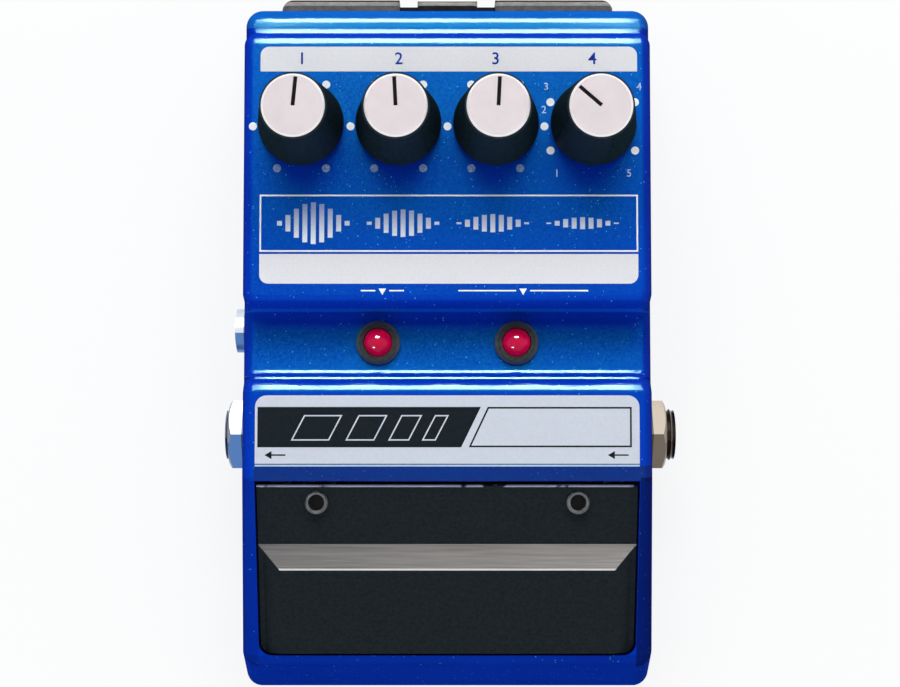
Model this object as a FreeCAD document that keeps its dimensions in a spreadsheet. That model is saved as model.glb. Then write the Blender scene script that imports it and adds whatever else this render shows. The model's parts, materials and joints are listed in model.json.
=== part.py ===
import FreeCAD, Part
import os
import re
import Sketcher
from FreeCAD import Placement, Rotation, Vector

# A small guitar delay pedal: a die-cast case with a hinged foot treadle, three level dials, a
# stepped selector, two indicator lamps, two side sockets and a power socket. All in millimetres.
# X runs to the player's right, Y to the rear of the case, Z up. The origin is on the floor,
# midway between the front of the case and the outer face of the rear bumpers.

os.makedirs("parts", exist_ok=True)
doc = FreeCAD.newDocument("delay_pedal")

# Driving sizes, one row each: name, value in millimetres or degrees, what it is.
DRIVING = [
    ("case_width", 75.6, "case width at the rim"),
    ("case_length", 124.55, "case length at the rim"),
    ("case_front", -63.5, "Y of the front of the rim"),
    ("rim_level", 2.0, "underside of the rim, also the sole's thickness"),
    ("draft", 4.4, "lean of the side walls from upright, degrees"),
    ("deck_level", 28.0, "rear ledge and lamp valley"),
    ("panel_level", 37.0, "control panel"),
    ("plateau_level", 33.0, "name-plate step between the lamps and the treadle"),
    ("lip_level", 23.0, "front lip"),
    ("lip_y", -57.4, "Y of the lip's front edge"),
    ("rear_ledge", 8.45, "panel's rear edge in front of the rear of the rim"),
    ("panel_rear_lean", 12.0, "lean of the panel's rear wall, degrees"),
    ("panel_front", 4.9, "Y of the panel's front wall at the valley"),
    ("ramp_foot", -5.9, "Y where the plateau's ramp meets the valley"),
    ("ramp_top", -7.7, "Y where the ramp meets the plateau"),
    ("slope_start", -24.5, "Y where the side rails start to fall"),
    ("wall", 2.6, "side wall at the rim"),
    ("roof", 2.4, "top wall"),
    ("case_corner", 3.0, "upright corner radius of the case"),
    ("panel_corner", 2.2, "upright corner radius of the raised panel"),
    ("top_edge", 1.8, "rounding of the upper edges"),
    ("well_corner", 2.2, "upright corner radius of the treadle well"),
    ("well_half", 33.3, "half width of the treadle well"),
    ("well_rear", -24.6, "Y of the well's rear wall"),
    ("well_front", -55.45, "Y of the well's front wall"),
    ("partition_rear", -23.2, "Y of the partition on the circuit side"),
    ("plate_thick", 1.2, "bottom plate"),
    ("plate_gap", 0.3, "gap round the bottom plate"),
    ("rim_lip", 1.6, "rim left round the bottom plate"),
    ("bumper_stand", 2.45, "rear bumpers behind the rim"),
    ("bumper_height", 18.0, "height of the rear bumpers"),
    ("bumper_start", 8.8, "inner end of a rear bumper, from the middle"),
    ("bumper_end", 30.4, "outer end of a rear bumper, from the middle"),
    ("tab_half", 5.5, "half width of the tab between the rear bumpers"),
    ("treadle_width", 66.0, "treadle"),
    ("treadle_rear", -25.2, "Y of the treadle's rear edge"),
    ("treadle_front", -55.1, "Y of the treadle's front edge"),
    ("treadle_high", 32.0, "treadle top at its rear edge"),
    ("treadle_low", 22.4, "treadle top at its front edge, beside the foot pad"),
    ("treadle_skin", 1.6, "treadle wall"),
    ("pad_rise", 1.5, "height of the raised foot pad"),
    ("pad_start", -35.85, "Y where the foot pad's bevel starts"),
    ("pad_flat", -40.2, "Y where the foot pad's flat starts"),
    ("pad_half", 29.3, "half width of the foot pad's flat"),
    ("pad_foot_half", 32.9, "half width of the foot pad at its foot"),
    ("hinge_y", -28.3, "Y of the hinge pins and release plungers"),
    ("hinge_z", 24.0, "height of the hinge pins"),
    ("hinge_x", 22.66, "release plungers, each side of the middle"),
    ("pin_radius", 0.8, "hinge cross pins"),
    ("release_stroke", 1.8, "travel of a release plunger"),
    ("plunger_radius", 2.0, "release plunger's head"),
    ("stem_radius", 1.1, "release plunger's stem"),
    ("running", 0.05, "radial clearance of a turning or sliding fit"),
    ("free_gap", 0.3, "clearance where pieces must not touch"),
    ("dial_setback", 15.96, "row of dials in front of the panel's rear edge"),
    ("dial_pitch", 16.7, "spacing of the dials"),
    ("knob_lift", 2.0, "knob's lower rim above the panel"),
    ("knob_base", 7.35, "knob radius at its lower rim"),
    ("knob_top", 5.5, "knob radius at the top"),
    ("knob_height", 15.2, "knob without its cap"),
    ("cap_radius", 5.2, "aluminium knob cap"),
    ("shaft_radius", 3.0, "dial shaft"),
    ("bush_radius", 3.5, "dial bushing"),
    ("lamp_x", 12.15, "lamps, each side of the middle"),
    ("lamp_y", -0.4, "Y of the lamps"),
    ("lamp_radius", 2.45, "lamp lens"),
    ("bezel_radius", 3.85, "lamp bezel"),
    ("socket_y", -16.4, "Y of the side sockets"),
    ("socket_z", 15.0, "height of all sockets"),
    ("plug_radius", 3.2, "bore for a quarter-inch plug"),
    ("thread_radius", 4.7, "side socket's threaded bushing"),
    ("nut_flats", 12.7, "side socket's nut across flats"),
    ("seat_x", 36.5, "spot face for the sockets, each side"),
    ("input_reach", 41.2, "X of the end of the input bushing"),
    ("output_reach", 40.1, "distance from the middle to the end of the output bushing"),
    ("power_y", 2.6, "Y of the power socket"),
    ("board_level", 5.2, "underside of the main board"),
    ("board_thick", 1.6, "circuit boards"),
    ("battery_long", 48.5, "nine-volt battery with its terminals"),
    ("battery_wide", 26.5, "nine-volt battery"),
    ("battery_high", 17.5, "nine-volt battery"),
    ("shelf_level", 9.0, "cast shelves beside the battery"),
    ("return_x", 28.9, "treadle springs, each side of the middle"),
    ("return_y", -38.0, "Y of the treadle springs"),
    ("return_seat", 25.0, "height of the treadle springs' upper seats"),
    ("switch_x", 29.6, "foot switch"),
    ("switch_y", -49.0, "foot switch"),
]
NAMES = {row[0] for row in DRIVING}

sheet = doc.addObject("Spreadsheet::Sheet", "Sizes")
for number, (name, value, note) in enumerate(DRIVING, start=1):
    sheet.set(f"A{number}", note)
    sheet.set(f"B{number}", str(value))
    sheet.setAlias(f"B{number}", name)
doc.recompute()


def tied(text):
    """An expression with each driving size named through the sheet."""
    return re.sub(r"[a-z_]+", lambda m: ("Sizes." if m.group(0) in NAMES else "") + m.group(0), text)


def size(text):
    """The present value of an expression."""
    result = sheet.evalExpression(tied(text))
    return float(getattr(result, "Value", result))


def bind(item, **expressions):
    """Ties properties to expressions; a double underscore stands for a dot."""
    for prop, text in expressions.items():
        item.setExpression(prop.replace("__", "."), tied(text))
    return item


# Sketch and feature helpers.

def new_body(label):
    made = doc.addObject("PartDesign::Body", label)
    made.Label = label
    return made


def new_sketch(body, name, role="XY_Plane", lift="0"):
    drawn = body.newObject("Sketcher::SketchObject", name)
    plane = [item for item in body.Origin.OriginFeatures if item.Role == role][0]
    drawn.AttachmentSupport = [(plane, "")]
    drawn.MapMode = "FlatFace"
    return bind(drawn, AttachmentOffset__Base__z=lift)


def add_polygon(drawn, points):
    """A closed run of straight lines through points given as pairs of expressions."""
    first = drawn.GeometryCount
    places = [Vector(size(a), size(b), 0) for a, b in points]
    for place, following in zip(places, places[1:] + places[:1]):
        drawn.addGeometry(Part.LineSegment(place, following), False)
    count = len(points)
    for index in range(count):
        here = first + index
        drawn.addConstraint(Sketcher.Constraint("Coincident", here, 2, first + (index + 1) % count, 1))
    for index, (across, along) in enumerate(points):
        for kind, text in (("DistanceX", across), ("DistanceY", along)):
            row = drawn.addConstraint(Sketcher.Constraint(kind, first + index, 1, size(text)))
            drawn.setExpression(f"Constraints[{row}]", tied(text))


def add_rectangle(drawn, left, right, low, high):
    add_polygon(drawn, [(left, low), (right, low), (right, high), (left, high)])


def add_circle(drawn, across, along, radius):
    centre = Vector(size(across), size(along), 0)
    index = drawn.addGeometry(Part.Circle(centre, Vector(0, 0, 1), size(radius)), False)
    for kind, text in (("DistanceX", across), ("DistanceY", along)):
        row = drawn.addConstraint(Sketcher.Constraint(kind, index, 3, size(text)))
        drawn.setExpression(f"Constraints[{row}]", tied(text))
    row = drawn.addConstraint(Sketcher.Constraint("Radius", index, size(radius)))
    drawn.setExpression(f"Constraints[{row}]", tied(radius))


def pad(body, drawn, length, name, taper=None, symmetric=False, down=False):
    made = body.newObject("PartDesign::Pad", name)
    made.Profile = drawn
    made.Reversed = down
    if symmetric:
        made.SideType = "Symmetric"
    if taper:
        bind(made, TaperAngle=taper)
    bind(made, Length=length)
    return made


def pocket(body, drawn, length, name, taper=None, symmetric=False, up=False):
    made = body.newObject("PartDesign::Pocket", name)
    made.Profile = drawn
    made.Reversed = up
    if symmetric:
        made.SideType = "Symmetric"
    if taper:
        bind(made, TaperAngle=taper)
    bind(made, Length=length)
    return made


def pick_edges(feature, wanted):
    """Names of the edges for which wanted(middle, direction, lowest Z, highest Z) holds."""
    doc.recompute()
    names = []
    for number, edge in enumerate(feature.Shape.Edges, start=1):
        if edge.Degenerated:
            continue
        half = (edge.FirstParameter + edge.LastParameter) / 2
        levels = [corner.Z for corner in edge.Vertexes]
        if wanted(edge.valueAt(half), edge.tangentAt(half), min(levels), max(levels)):
            names.append(f"Edge{number}")
    return names


def round_edges(body, feature, radius, name, wanted):
    names = pick_edges(feature, wanted)
    made = body.newObject("PartDesign::Fillet", name)
    made.Base = (feature, names)
    return bind(made, Radius=radius)


def bevel_edges(body, feature, width, name, wanted):
    names = pick_edges(feature, wanted)
    made = body.newObject("PartDesign::Chamfer", name)
    made.Base = (feature, names)
    return bind(made, Size=width)


def revolve(body, points, name, across="0", along="0"):
    """Turns a half outline, given as pairs of radius and height, about an upright axis."""
    drawn = new_sketch(body, name + "_outline", "XZ_Plane")
    add_polygon(drawn, points)
    made = body.newObject("PartDesign::Revolution", name)
    made.Profile = drawn
    made.ReferenceAxis = (drawn, ["V_Axis"])
    made.Angle = 360
    bind(body, Placement__Base__x=across, Placement__Base__y=along)
    return made


def block(label, left, right, front, rear, low, high):
    made = doc.addObject("Part::Box", label)
    made.Label = label
    return bind(
        made,
        Length=f"({right}) - ({left})",
        Width=f"({rear}) - ({front})",
        Height=f"({high}) - ({low})",
        Placement__Base__x=left,
        Placement__Base__y=front,
        Placement__Base__z=low,
    )


def rod(label, radius, start, end, across, along, axis="Z"):
    """A round bar from start to end along Z, or along X when axis is X (then across is Y)."""
    made = doc.addObject("Part::Cylinder", label)
    made.Label = label
    bind(made, Radius=radius, Height=f"({end}) - ({start})")
    if axis == "Z":
        return bind(made, Placement__Base__x=across, Placement__Base__y=along, Placement__Base__z=start)
    made.Placement = Placement(Vector(0, 0, 0), Rotation(Vector(0, 1, 0), 90))
    return bind(made, Placement__Base__x=start, Placement__Base__y=across, Placement__Base__z=along)


def hexagon(label, flats, start, end, across, along, axis="Z"):
    made = doc.addObject("Part::Prism", label)
    made.Label = label
    made.Polygon = 6
    bind(made, Circumradius=f"({flats}) / 1.7320508", Height=f"({end}) - ({start})")
    if axis == "Z":
        return bind(made, Placement__Base__x=across, Placement__Base__y=along, Placement__Base__z=start)
    made.Placement = Placement(Vector(0, 0, 0), Rotation(Vector(0, 1, 0), 90))
    return bind(made, Placement__Base__x=start, Placement__Base__y=across, Placement__Base__z=along)


def cut(label, base, tool):
    made = doc.addObject("Part::Cut", label)
    made.Label = label
    made.Base = base
    made.Tool = tool
    return made


def fuse(label, pieces):
    made = doc.addObject("Part::MultiFuse", label)
    made.Label = label
    made.Shapes = pieces
    return made


def group(label, pieces):
    """Like pieces that share one node, each still a separate solid."""
    made = doc.addObject("Part::Compound", label)
    made.Label = label
    made.Links = pieces
    return made


def tube(label, outer, inner, start, end, across, along, axis="Z"):
    shell = rod(label + "_outer", outer, start, end, across, along, axis)
    hole = rod(label + "_hole", inner, f"({start}) - 1", f"({end}) + 1", across, along, axis)
    return cut(label, shell, hole)


# Levels and lines that several pieces share, as expressions of the driving sizes.
HALF = "case_width / 2"
REAR = "(case_front + case_length)"
PANEL_REAR = f"({REAR} - rear_ledge)"
DIAL_Y = f"({PANEL_REAR} - dial_setback)"
BUMPER_REACH = f"({REAR} + bumper_stand)"
FLOOR = "(rim_level + plate_thick)"
BOARD_TOP = "(board_level + board_thick)"
KNOB_LOW = "(panel_level + knob_lift)"
KNOB_HIGH = "(panel_level + knob_lift + knob_height)"
PANEL_UNDER = "(panel_level - roof)"
RETAINER_TOP = "(hinge_z + 1.6)"
SHOULDER = f"({RETAINER_TOP} + release_stroke + 1.1)"
FALL = "((treadle_high - treadle_low) / (treadle_rear - treadle_front))"
DIALS = [f"dial_pitch * {step}" for step in (-1.5, -0.5, 0.5, 1.5)]
PILLARS = [("0", f"{PANEL_REAR} - 4.6"), ("-30.3", "panel_front + 7.1"), ("30.3", "panel_front + 7.1")]
SCREW_X = f"({HALF} - 6)"
PLATE_SCREWS = [
    (f"{side}{SCREW_X}", along) for along in (f"{REAR} - 5.8", "case_front + 4.6") for side in ("-", "")
]
ACROSS = f"(2 * {HALF} + 10)"

# Small sizes of the fittings, in millimetres. Radii are named as such, halves are half widths.
SCREW_RADIUS = "1.45"
SCREW_HEAD_RADIUS = "2.8"
SCREW_HEAD_HIGH = "1.5"
SCREW_DEPTH = "6.5"
TAP_RADIUS = "1.5"
TAP_DEPTH = "8"
BOSS_RADIUS = "3.5"
BOSS_HIGH = "11"
PLATE_HOLE_RADIUS = "1.7"
SOLE_HOLE_RADIUS = "3.4"
SOLE_CORNER = "2.4"
BUMPER_CORNER = "2"
BUMPER_EDGE = "0.9"
WEB_HALF = "28"
PILLAR_HALF = "2"
RELIEF_HALF = "26"
RELIEF_DEPTH = "8"
SHELF_INNER = "(return_x - 2.4)"
PASSAGE = ("-27", "-22.4", "6.9", "8.3")
CHEEK_NEAR = "3.1"
CHEEK_FAR = "4.8"
CHEEK_BELOW = "0.9"
CHEEK_ABOVE = "2.3"
NOTCH_HALF = "5.6"
PIN_LENGTH = "10.4"
RETAINER_LOW = "(hinge_z + 1.1)"
PLUNGER_BOSS_RADIUS = "2.7"
PLUNGER_LIP = "0.6"
PLUNGER_BEVEL = "0.25"
SPRING_RADIUS = "2.3"
SPRING_INNER_RADIUS = "1.7"
SPRING_SEAT_RADIUS = "2.6"
BUTTON_RADIUS = "1.5"
SWITCH_HALF = "3"
SWITCH_HIGH = "6.5"
CAP_SEAT = "0.7"
CAP_RISE = "0.5"
POINTER_HALF = "0.33"
KNOB_WALL = "1.1"
KNOB_HOLLOW = "2.4"
SHAFT_SEAT = "4.4"
SNUG = "0.03"
DIAL_BODY_HIGH = "6.8"
DIAL_NUT_FLATS = "10"
DIAL_NUT_HIGH = "2.4"
THREAD_FIT = "0.02"
LAMP_FLANGE = "0.45"
LAMP_BASE = "(deck_level - 4)"
BEZEL_STEM = "(bezel_radius - 0.55)"
SPOT_MARGIN = "1.4"
SOCKET_HALF_WIDE = "5.5"
SOCKET_HALF_HIGH = "6.5"
SOCKET_LONG = "24"
SOCKET_NUT_THICK = "3"
POWER_THREAD_RADIUS = "3"
POWER_BORE_RADIUS = "1.8"
POWER_NUT_RADIUS = "4"


def upright(middle, direction):
    return abs(middle.x) > size("case_width * 0.4") and abs(direction.z) > 0.6


def drafted_block(body, name, inset, front, rear, low, high):
    """A block from front to rear whose sides lean in with height, as the case's walls do."""
    outline = new_sketch(body, name + "_outline", "XZ_Plane", f"-({rear})")
    foot, crown = [f"({HALF} - ({inset}) - (({level}) - rim_level) * tan(draft))" for level in (low, high)]
    add_polygon(outline, [(f"-{foot}", low), (foot, low), (crown, high), (f"-{crown}", high)])
    return pad(body, outline, f"({rear}) - ({front})", name)


def lean_end(body, name, edge, level, lean, reach, low, high):
    """Cuts an end wall through the line at edge and level so that it leans in with height."""
    side = new_sketch(body, name + "_side", "YZ_Plane")
    add_polygon(side, [
        (f"{edge} + ({level} - ({low})) * {lean}", low),
        (f"{edge} + ({level} - ({high})) * {lean}", high),
        (reach, high),
        (reach, low),
    ])
    return pocket(body, side, ACROSS, name, symmetric=True)


def make_panel_stock():
    """The raised control panel, with its leaning end walls and rounded corners."""
    body = new_body("panel_stock")
    low = "deck_level - 3"
    drafted_block(body, "panel_block", "0.06", "panel_front - 2", REAR, low, "panel_level")
    span = (f"{low} - 1", "panel_level + 5")
    lean_end(body, "panel_front_wall", "panel_front", "deck_level", "-tan(draft)", "panel_front - 5", *span)
    lean_cut = lean_end(
        body, "panel_rear_wall", PANEL_REAR, "panel_level", "tan(panel_rear_lean)", f"{REAR} + 5", *span
    )
    corners = round_edges(body, lean_cut, "panel_corner", "panel_corners", lambda m, d, lo, hi: upright(m, d))
    top = size("panel_level")
    round_edges(body, corners, "top_edge", "panel_edge", lambda m, d, lo, hi: lo > top - 0.05)
    return body


def make_front_stock():
    """The name-plate step, the falling side rails, the lip and the sloping front face."""
    body = new_body("front_stock")
    drafted_block(body, "front_block", "0", "case_front - 1", "-1", "rim_level", "plateau_level")
    ramp = "((ramp_foot - ramp_top) / (plateau_level - deck_level))"
    side = new_sketch(body, "front_side", "YZ_Plane")
    add_polygon(side, [
        ("case_front", "rim_level"),
        ("lip_y", "lip_level"),
        ("slope_start", "plateau_level"),
        ("slope_start + 2", "plateau_level + 5"),
        ("case_front - 20", "plateau_level + 5"),
        ("case_front - 20", "rim_level"),
    ])
    pocket(body, side, ACROSS, "front_slopes", symmetric=True)
    back = new_sketch(body, "ramp_side", "YZ_Plane")
    add_polygon(back, [
        ("ramp_top", "plateau_level"),
        (f"ramp_foot + 1.5 * {ramp}", "deck_level - 1.5"),
        ("3", "deck_level - 1.5"),
        ("3", "plateau_level + 5"),
        (f"ramp_top - 5 * {ramp}", "plateau_level + 5"),
    ])
    sloped = pocket(body, back, ACROSS, "ramp", symmetric=True)
    nose = size("lip_y")
    corners = round_edges(
        body, sloped, "case_corner", "front_corners", lambda m, d, lo, hi: upright(m, d) and m.y < nose
    )
    ramp_low, ramp_high = size("ramp_top - 0.5"), size("ramp_foot + 1")
    ramp_corners = round_edges(
        body, corners, "panel_corner", "ramp_corners",
        lambda m, d, lo, hi: upright(m, d) and ramp_low < m.y < ramp_high,
    )
    plateau, bend, lip = size("plateau_level"), size("slope_start"), size("lip_level")
    round_edges(
        body, ramp_corners, "top_edge", "front_edge",
        lambda m, d, lo, hi: abs(d.z) < 0.4 and lo > lip - 0.5 and hi > lip - 0.5
        and abs(m.y - bend) > 0.5 and (m.y < bend or hi > plateau - 0.05),
    )
    return body


def make_cavity():
    """The room for the circuit boards, under a stepped roof."""
    body = new_body("circuit_room")
    drafted_block(body, "room", "wall", "partition_rear", f"{REAR} - wall", "rim_level", PANEL_UNDER)
    inner_rear = f"({REAR} - wall)"
    span = ("rim_level - 1", "panel_level")
    lean_end(body, "room_rear", inner_rear, "rim_level", "tan(draft)", f"{REAR} + 5", *span)
    side = new_sketch(body, "roof_side", "YZ_Plane")
    add_polygon(side, [
        ("partition_rear - 2", "plateau_level - roof"),
        ("ramp_top - 1", "plateau_level - roof"),
        ("ramp_foot - 1.5", "deck_level - roof"),
        ("panel_front + roof", "deck_level - roof"),
        ("panel_front + roof", "panel_level + 2"),
        ("partition_rear - 2", "panel_level + 2"),
    ])
    add_polygon(side, [
        (f"{REAR} + 3", "deck_level - roof"),
        (f"{REAR} + 3", "panel_level + 2"),
        (f"{PANEL_REAR} - roof", "panel_level + 2"),
        (f"{PANEL_REAR} - roof", "deck_level - roof"),
    ])
    pocket(body, side, "case_width", "roof_steps", symmetric=True)
    return body


def join(body, kind, tool, name):
    made = body.newObject("PartDesign::Boolean", name)
    made.Type = kind
    made.addObject(tool)
    return made


def round_foot(body, feature, radius, name, near, far):
    """The hollow rounding where a raised part of the case stands on the deck."""
    deck, side = size("deck_level"), size("case_width / 2 - 1.5")
    low, high = sorted((size(near), size(far)))
    return round_edges(
        body, feature, radius, name,
        lambda m, d, lo, hi: low < m.y < high and deck - 0.1 < lo and hi < deck + 0.1
        and abs(m.x) < side and (abs(m.x) < 1 or abs(d.x) > 0.5),
    )


def make_housing():
    """The die-cast case: shell, partition, treadle well, hinge hooks, shelves and pillars."""
    body = new_body("die_cast_housing")
    drafted_block(body, "lower_block", "0", "slope_start - 6", REAR, "rim_level", "deck_level")
    lower = lean_end(
        body, "case_rear", REAR, "rim_level", "tan(draft)", f"{REAR} + 5", "rim_level - 1", "deck_level + 1"
    )
    rear, deck = size(f"{REAR} - 8"), size("deck_level")
    corners = round_edges(
        body, lower, "case_corner", "rear_corners", lambda m, d, lo, hi: upright(m, d) and m.y > rear
    )
    front = size("slope_start - 3")
    round_edges(
        body, corners, "top_edge", "deck_edge", lambda m, d, lo, hi: lo > deck - 0.05 and m.y > front
    )
    join(body, "Fuse", make_panel_stock(), "with_panel")
    whole = join(body, "Fuse", make_front_stock(), "with_front")
    rear_foot = round_foot(body, whole, "1.5", "panel_rear_foot", f"{PANEL_REAR} + 0.5", f"{PANEL_REAR} + 3")
    round_foot(body, rear_foot, "1.0", "ramp_hollow", "ramp_foot - 1.2", "ramp_foot + 0.5")
    join(body, "Cut", make_cavity(), "hollowed")

    well = new_sketch(body, "well_outline", "XY_Plane", "plateau_level + 1")
    add_rectangle(well, "-well_half", "well_half", "well_front", "well_rear")
    opened = pocket(body, well, "plateau_level + 1", "treadle_well")
    nose, half = size("well_front"), size("well_half")
    round_edges(
        body, opened, "well_corner", "well_corners",
        lambda m, d, lo, hi: abs(m.y - nose) < 0.1 and abs(abs(m.x) - half) < 0.1 and abs(d.z) > 0.9,
    )
    recess = new_sketch(body, "plate_recess_outline", "XY_Plane", "rim_level")
    side = f"({HALF} - rim_lip)"
    add_rectangle(recess, f"-{side}", side, "case_front + rim_lip", f"{REAR} - rim_lip")
    pocket(body, recess, "plate_thick", "plate_recess", up=True)
    relief = new_sketch(body, "front_relief_outline", "XY_Plane", "rim_level")
    add_rectangle(relief, f"-{RELIEF_HALF}", RELIEF_HALF, "case_front + 3.6", "well_front + 1")
    pocket(body, relief, RELIEF_DEPTH, "front_relief", up=True)

    shelves = new_sketch(body, "shelf_outline", "XY_Plane", FLOOR)
    for side in ("-", ""):
        ends = sorted((f"{side}{SHELF_INNER}", f"{side}(well_half + 0.5)"), key=size)
        add_rectangle(shelves, ends[0], ends[1], "switch_y - 4.5", "return_y + 4")
    pad(body, shelves, f"shelf_level - {FLOOR}", "shelves")
    hooks = new_sketch(body, "hook_outline", "XZ_Plane", "-well_rear - 0.5")
    for side in ("-", ""):
        for near, far in ((CHEEK_NEAR, CHEEK_FAR), (f"-{CHEEK_FAR}", f"-{CHEEK_NEAR}")):
            add_rectangle(
                hooks, f"{side}hinge_x + {near}", f"{side}hinge_x + {far}",
                f"hinge_z - {CHEEK_BELOW}", f"hinge_z + {CHEEK_ABOVE}",
            )
    pad(body, hooks, "well_rear - hinge_y + 2.5", "hinge_hooks")
    slot = new_sketch(body, "hook_slot_outline", "YZ_Plane")
    reach = "(pin_radius + free_gap)"
    add_rectangle(slot, f"hinge_y - {reach}", f"hinge_y + {reach}", "hinge_z - 2", f"hinge_z + {reach}")
    pocket(body, slot, "2 * hinge_x + 11", "hook_slots", symmetric=True)

    bosses = new_sketch(body, "boss_outline", "XY_Plane", FLOOR)
    for across, along in PLATE_SCREWS[:2]:
        add_circle(bosses, across, along, BOSS_RADIUS)
    pad(body, bosses, BOSS_HIGH, "plate_bosses")
    pillars = new_sketch(body, "pillar_outline", "XY_Plane", BOARD_TOP)
    for across, along in PILLARS:
        add_rectangle(
            pillars, f"{across} - {PILLAR_HALF}", f"{across} + {PILLAR_HALF}",
            f"{along} - {PILLAR_HALF}", f"{along} + {PILLAR_HALF}",
        )
    pad(body, pillars, f"{PANEL_UNDER} - {BOARD_TOP} + 0.6", "board_pillars")

    taps = new_sketch(body, "plate_tap_outline", "XY_Plane", FLOOR)
    for across, along in PLATE_SCREWS:
        add_circle(taps, across, along, TAP_RADIUS)
    pocket(body, taps, TAP_DEPTH, "plate_taps", up=True)

    dial_holes = new_sketch(body, "dial_hole_outline", "XY_Plane", "panel_level + 1")
    for across in DIALS:
        add_circle(dial_holes, across, DIAL_Y, "bush_radius + 0.1")
    pocket(body, dial_holes, "roof + 2", "dial_holes")
    lamp_holes = new_sketch(body, "lamp_hole_outline", "XY_Plane", "deck_level + 1")
    for side in ("-", ""):
        add_circle(lamp_holes, f"{side}lamp_x", "lamp_y", f"{BEZEL_STEM} + 0.05")
    pocket(body, lamp_holes, "roof + 2", "lamp_holes")

    for side, turned in (("-", True), ("", False)):
        name = "left" if turned else "right"
        spots = new_sketch(body, f"spot_outline_{name}", "YZ_Plane", f"{side}seat_x")
        add_circle(spots, "socket_y", "socket_z", f"nut_flats / 2 + {SPOT_MARGIN}")
        if turned:
            add_circle(spots, "power_y", "socket_z", f"{POWER_NUT_RADIUS} + 2 * free_gap")
        pocket(body, spots, "5", f"spot_faces_{name}", up=not turned)
        holes = new_sketch(body, f"socket_hole_outline_{name}", "YZ_Plane", f"{side}(seat_x + 1)")
        add_circle(holes, "socket_y", "socket_z", "thread_radius + 0.15")
        if turned:
            add_circle(holes, "power_y", "socket_z", f"{POWER_THREAD_RADIUS} + 0.1")
        pocket(body, holes, "wall + 3", f"socket_holes_{name}", up=turned)
    passage = new_sketch(body, "lead_passage_outline", "XZ_Plane", "-well_rear + 1")
    add_rectangle(passage, *PASSAGE)
    pocket(body, passage, "well_rear - partition_rear + 5", "lead_passage", up=False)
    return body


def make_bottom_plate():
    body = new_body("bottom_plate")
    outline = new_sketch(body, "plate_outline", "XY_Plane", "rim_level")
    edge = "(rim_lip + plate_gap)"
    add_rectangle(
        outline, f"-{HALF} + {edge}", f"{HALF} - {edge}", f"case_front + {edge}", f"{REAR} - {edge}"
    )
    pad(body, outline, "plate_thick", "plate")
    holes = new_sketch(body, "plate_hole_outline", "XY_Plane", "rim_level")
    for across, along in PLATE_SCREWS:
        add_circle(holes, across, along, PLATE_HOLE_RADIUS)
    pocket(body, holes, "plate_thick + 1", "plate_holes", up=True)
    return body


def make_sole():
    """Rubber sole with an upstand behind the case: a thin web, two long bumpers and a middle tab."""
    body = new_body("rubber_sole")
    web_rear = f"{BUMPER_REACH} - 1"
    outline = new_sketch(body, "sole_outline", "XY_Plane")
    add_rectangle(outline, f"-{HALF} + 1", f"{HALF} - 1", "case_front + 1", web_rear)
    flat = pad(body, outline, "rim_level", "sole")
    round_edges(body, flat, SOLE_CORNER, "sole_corners", lambda m, d, lo, hi: abs(d.z) > 0.9)
    behind = f"{REAR} + 0.15"
    web = new_sketch(body, "web_outline", "XY_Plane")
    add_rectangle(web, f"-{WEB_HALF}", WEB_HALF, behind, web_rear)
    pad(body, web, "bumper_height - 2", "web")
    blocks = new_sketch(body, "bumper_outline", "XY_Plane")
    add_rectangle(blocks, "-bumper_end", "-bumper_start", behind, BUMPER_REACH)
    add_rectangle(blocks, "bumper_start", "bumper_end", behind, BUMPER_REACH)
    add_rectangle(blocks, "-tab_half", "tab_half", behind, f"{BUMPER_REACH} - 0.2")
    raised = pad(body, blocks, "bumper_height", "bumpers")
    outer, top, between = size(BUMPER_REACH), size("bumper_height"), size("(bumper_start + bumper_end) / 2")
    ends = round_edges(
        body, raised, BUMPER_CORNER, "bumper_ends",
        lambda m, d, lo, hi: abs(d.z) > 0.9 and m.y > outer - 0.1 and abs(m.x) > between,
    )
    round_edges(
        body, ends, BUMPER_EDGE, "bumper_edges",
        lambda m, d, lo, hi: lo > top - 0.05 and m.y > size(f"{REAR} + 0.3") and abs(d.z) < 0.1,
    )
    holes = new_sketch(body, "sole_hole_outline", "XY_Plane")
    for across, along in PLATE_SCREWS:
        add_circle(holes, across, along, SOLE_HOLE_RADIUS)
    pocket(body, holes, "rim_level + 1", "sole_holes", up=True)
    return body


def make_treadle_plan():
    """The treadle's outline from above, with its two rounded front corners."""
    body = new_body("treadle_plan")
    outline = new_sketch(body, "treadle_plan_outline", "XY_Plane")
    add_rectangle(outline, "-treadle_width / 2", "treadle_width / 2", "treadle_front", "treadle_rear")
    stock = pad(body, outline, "treadle_high + 10", "treadle_plan_block")
    nose = size("treadle_front")
    round_edges(
        body, stock, "well_corner - free_gap", "treadle_corners",
        lambda m, d, lo, hi: abs(m.y - nose) < 0.1 and abs(d.z) > 0.9,
    )
    return body


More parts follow.
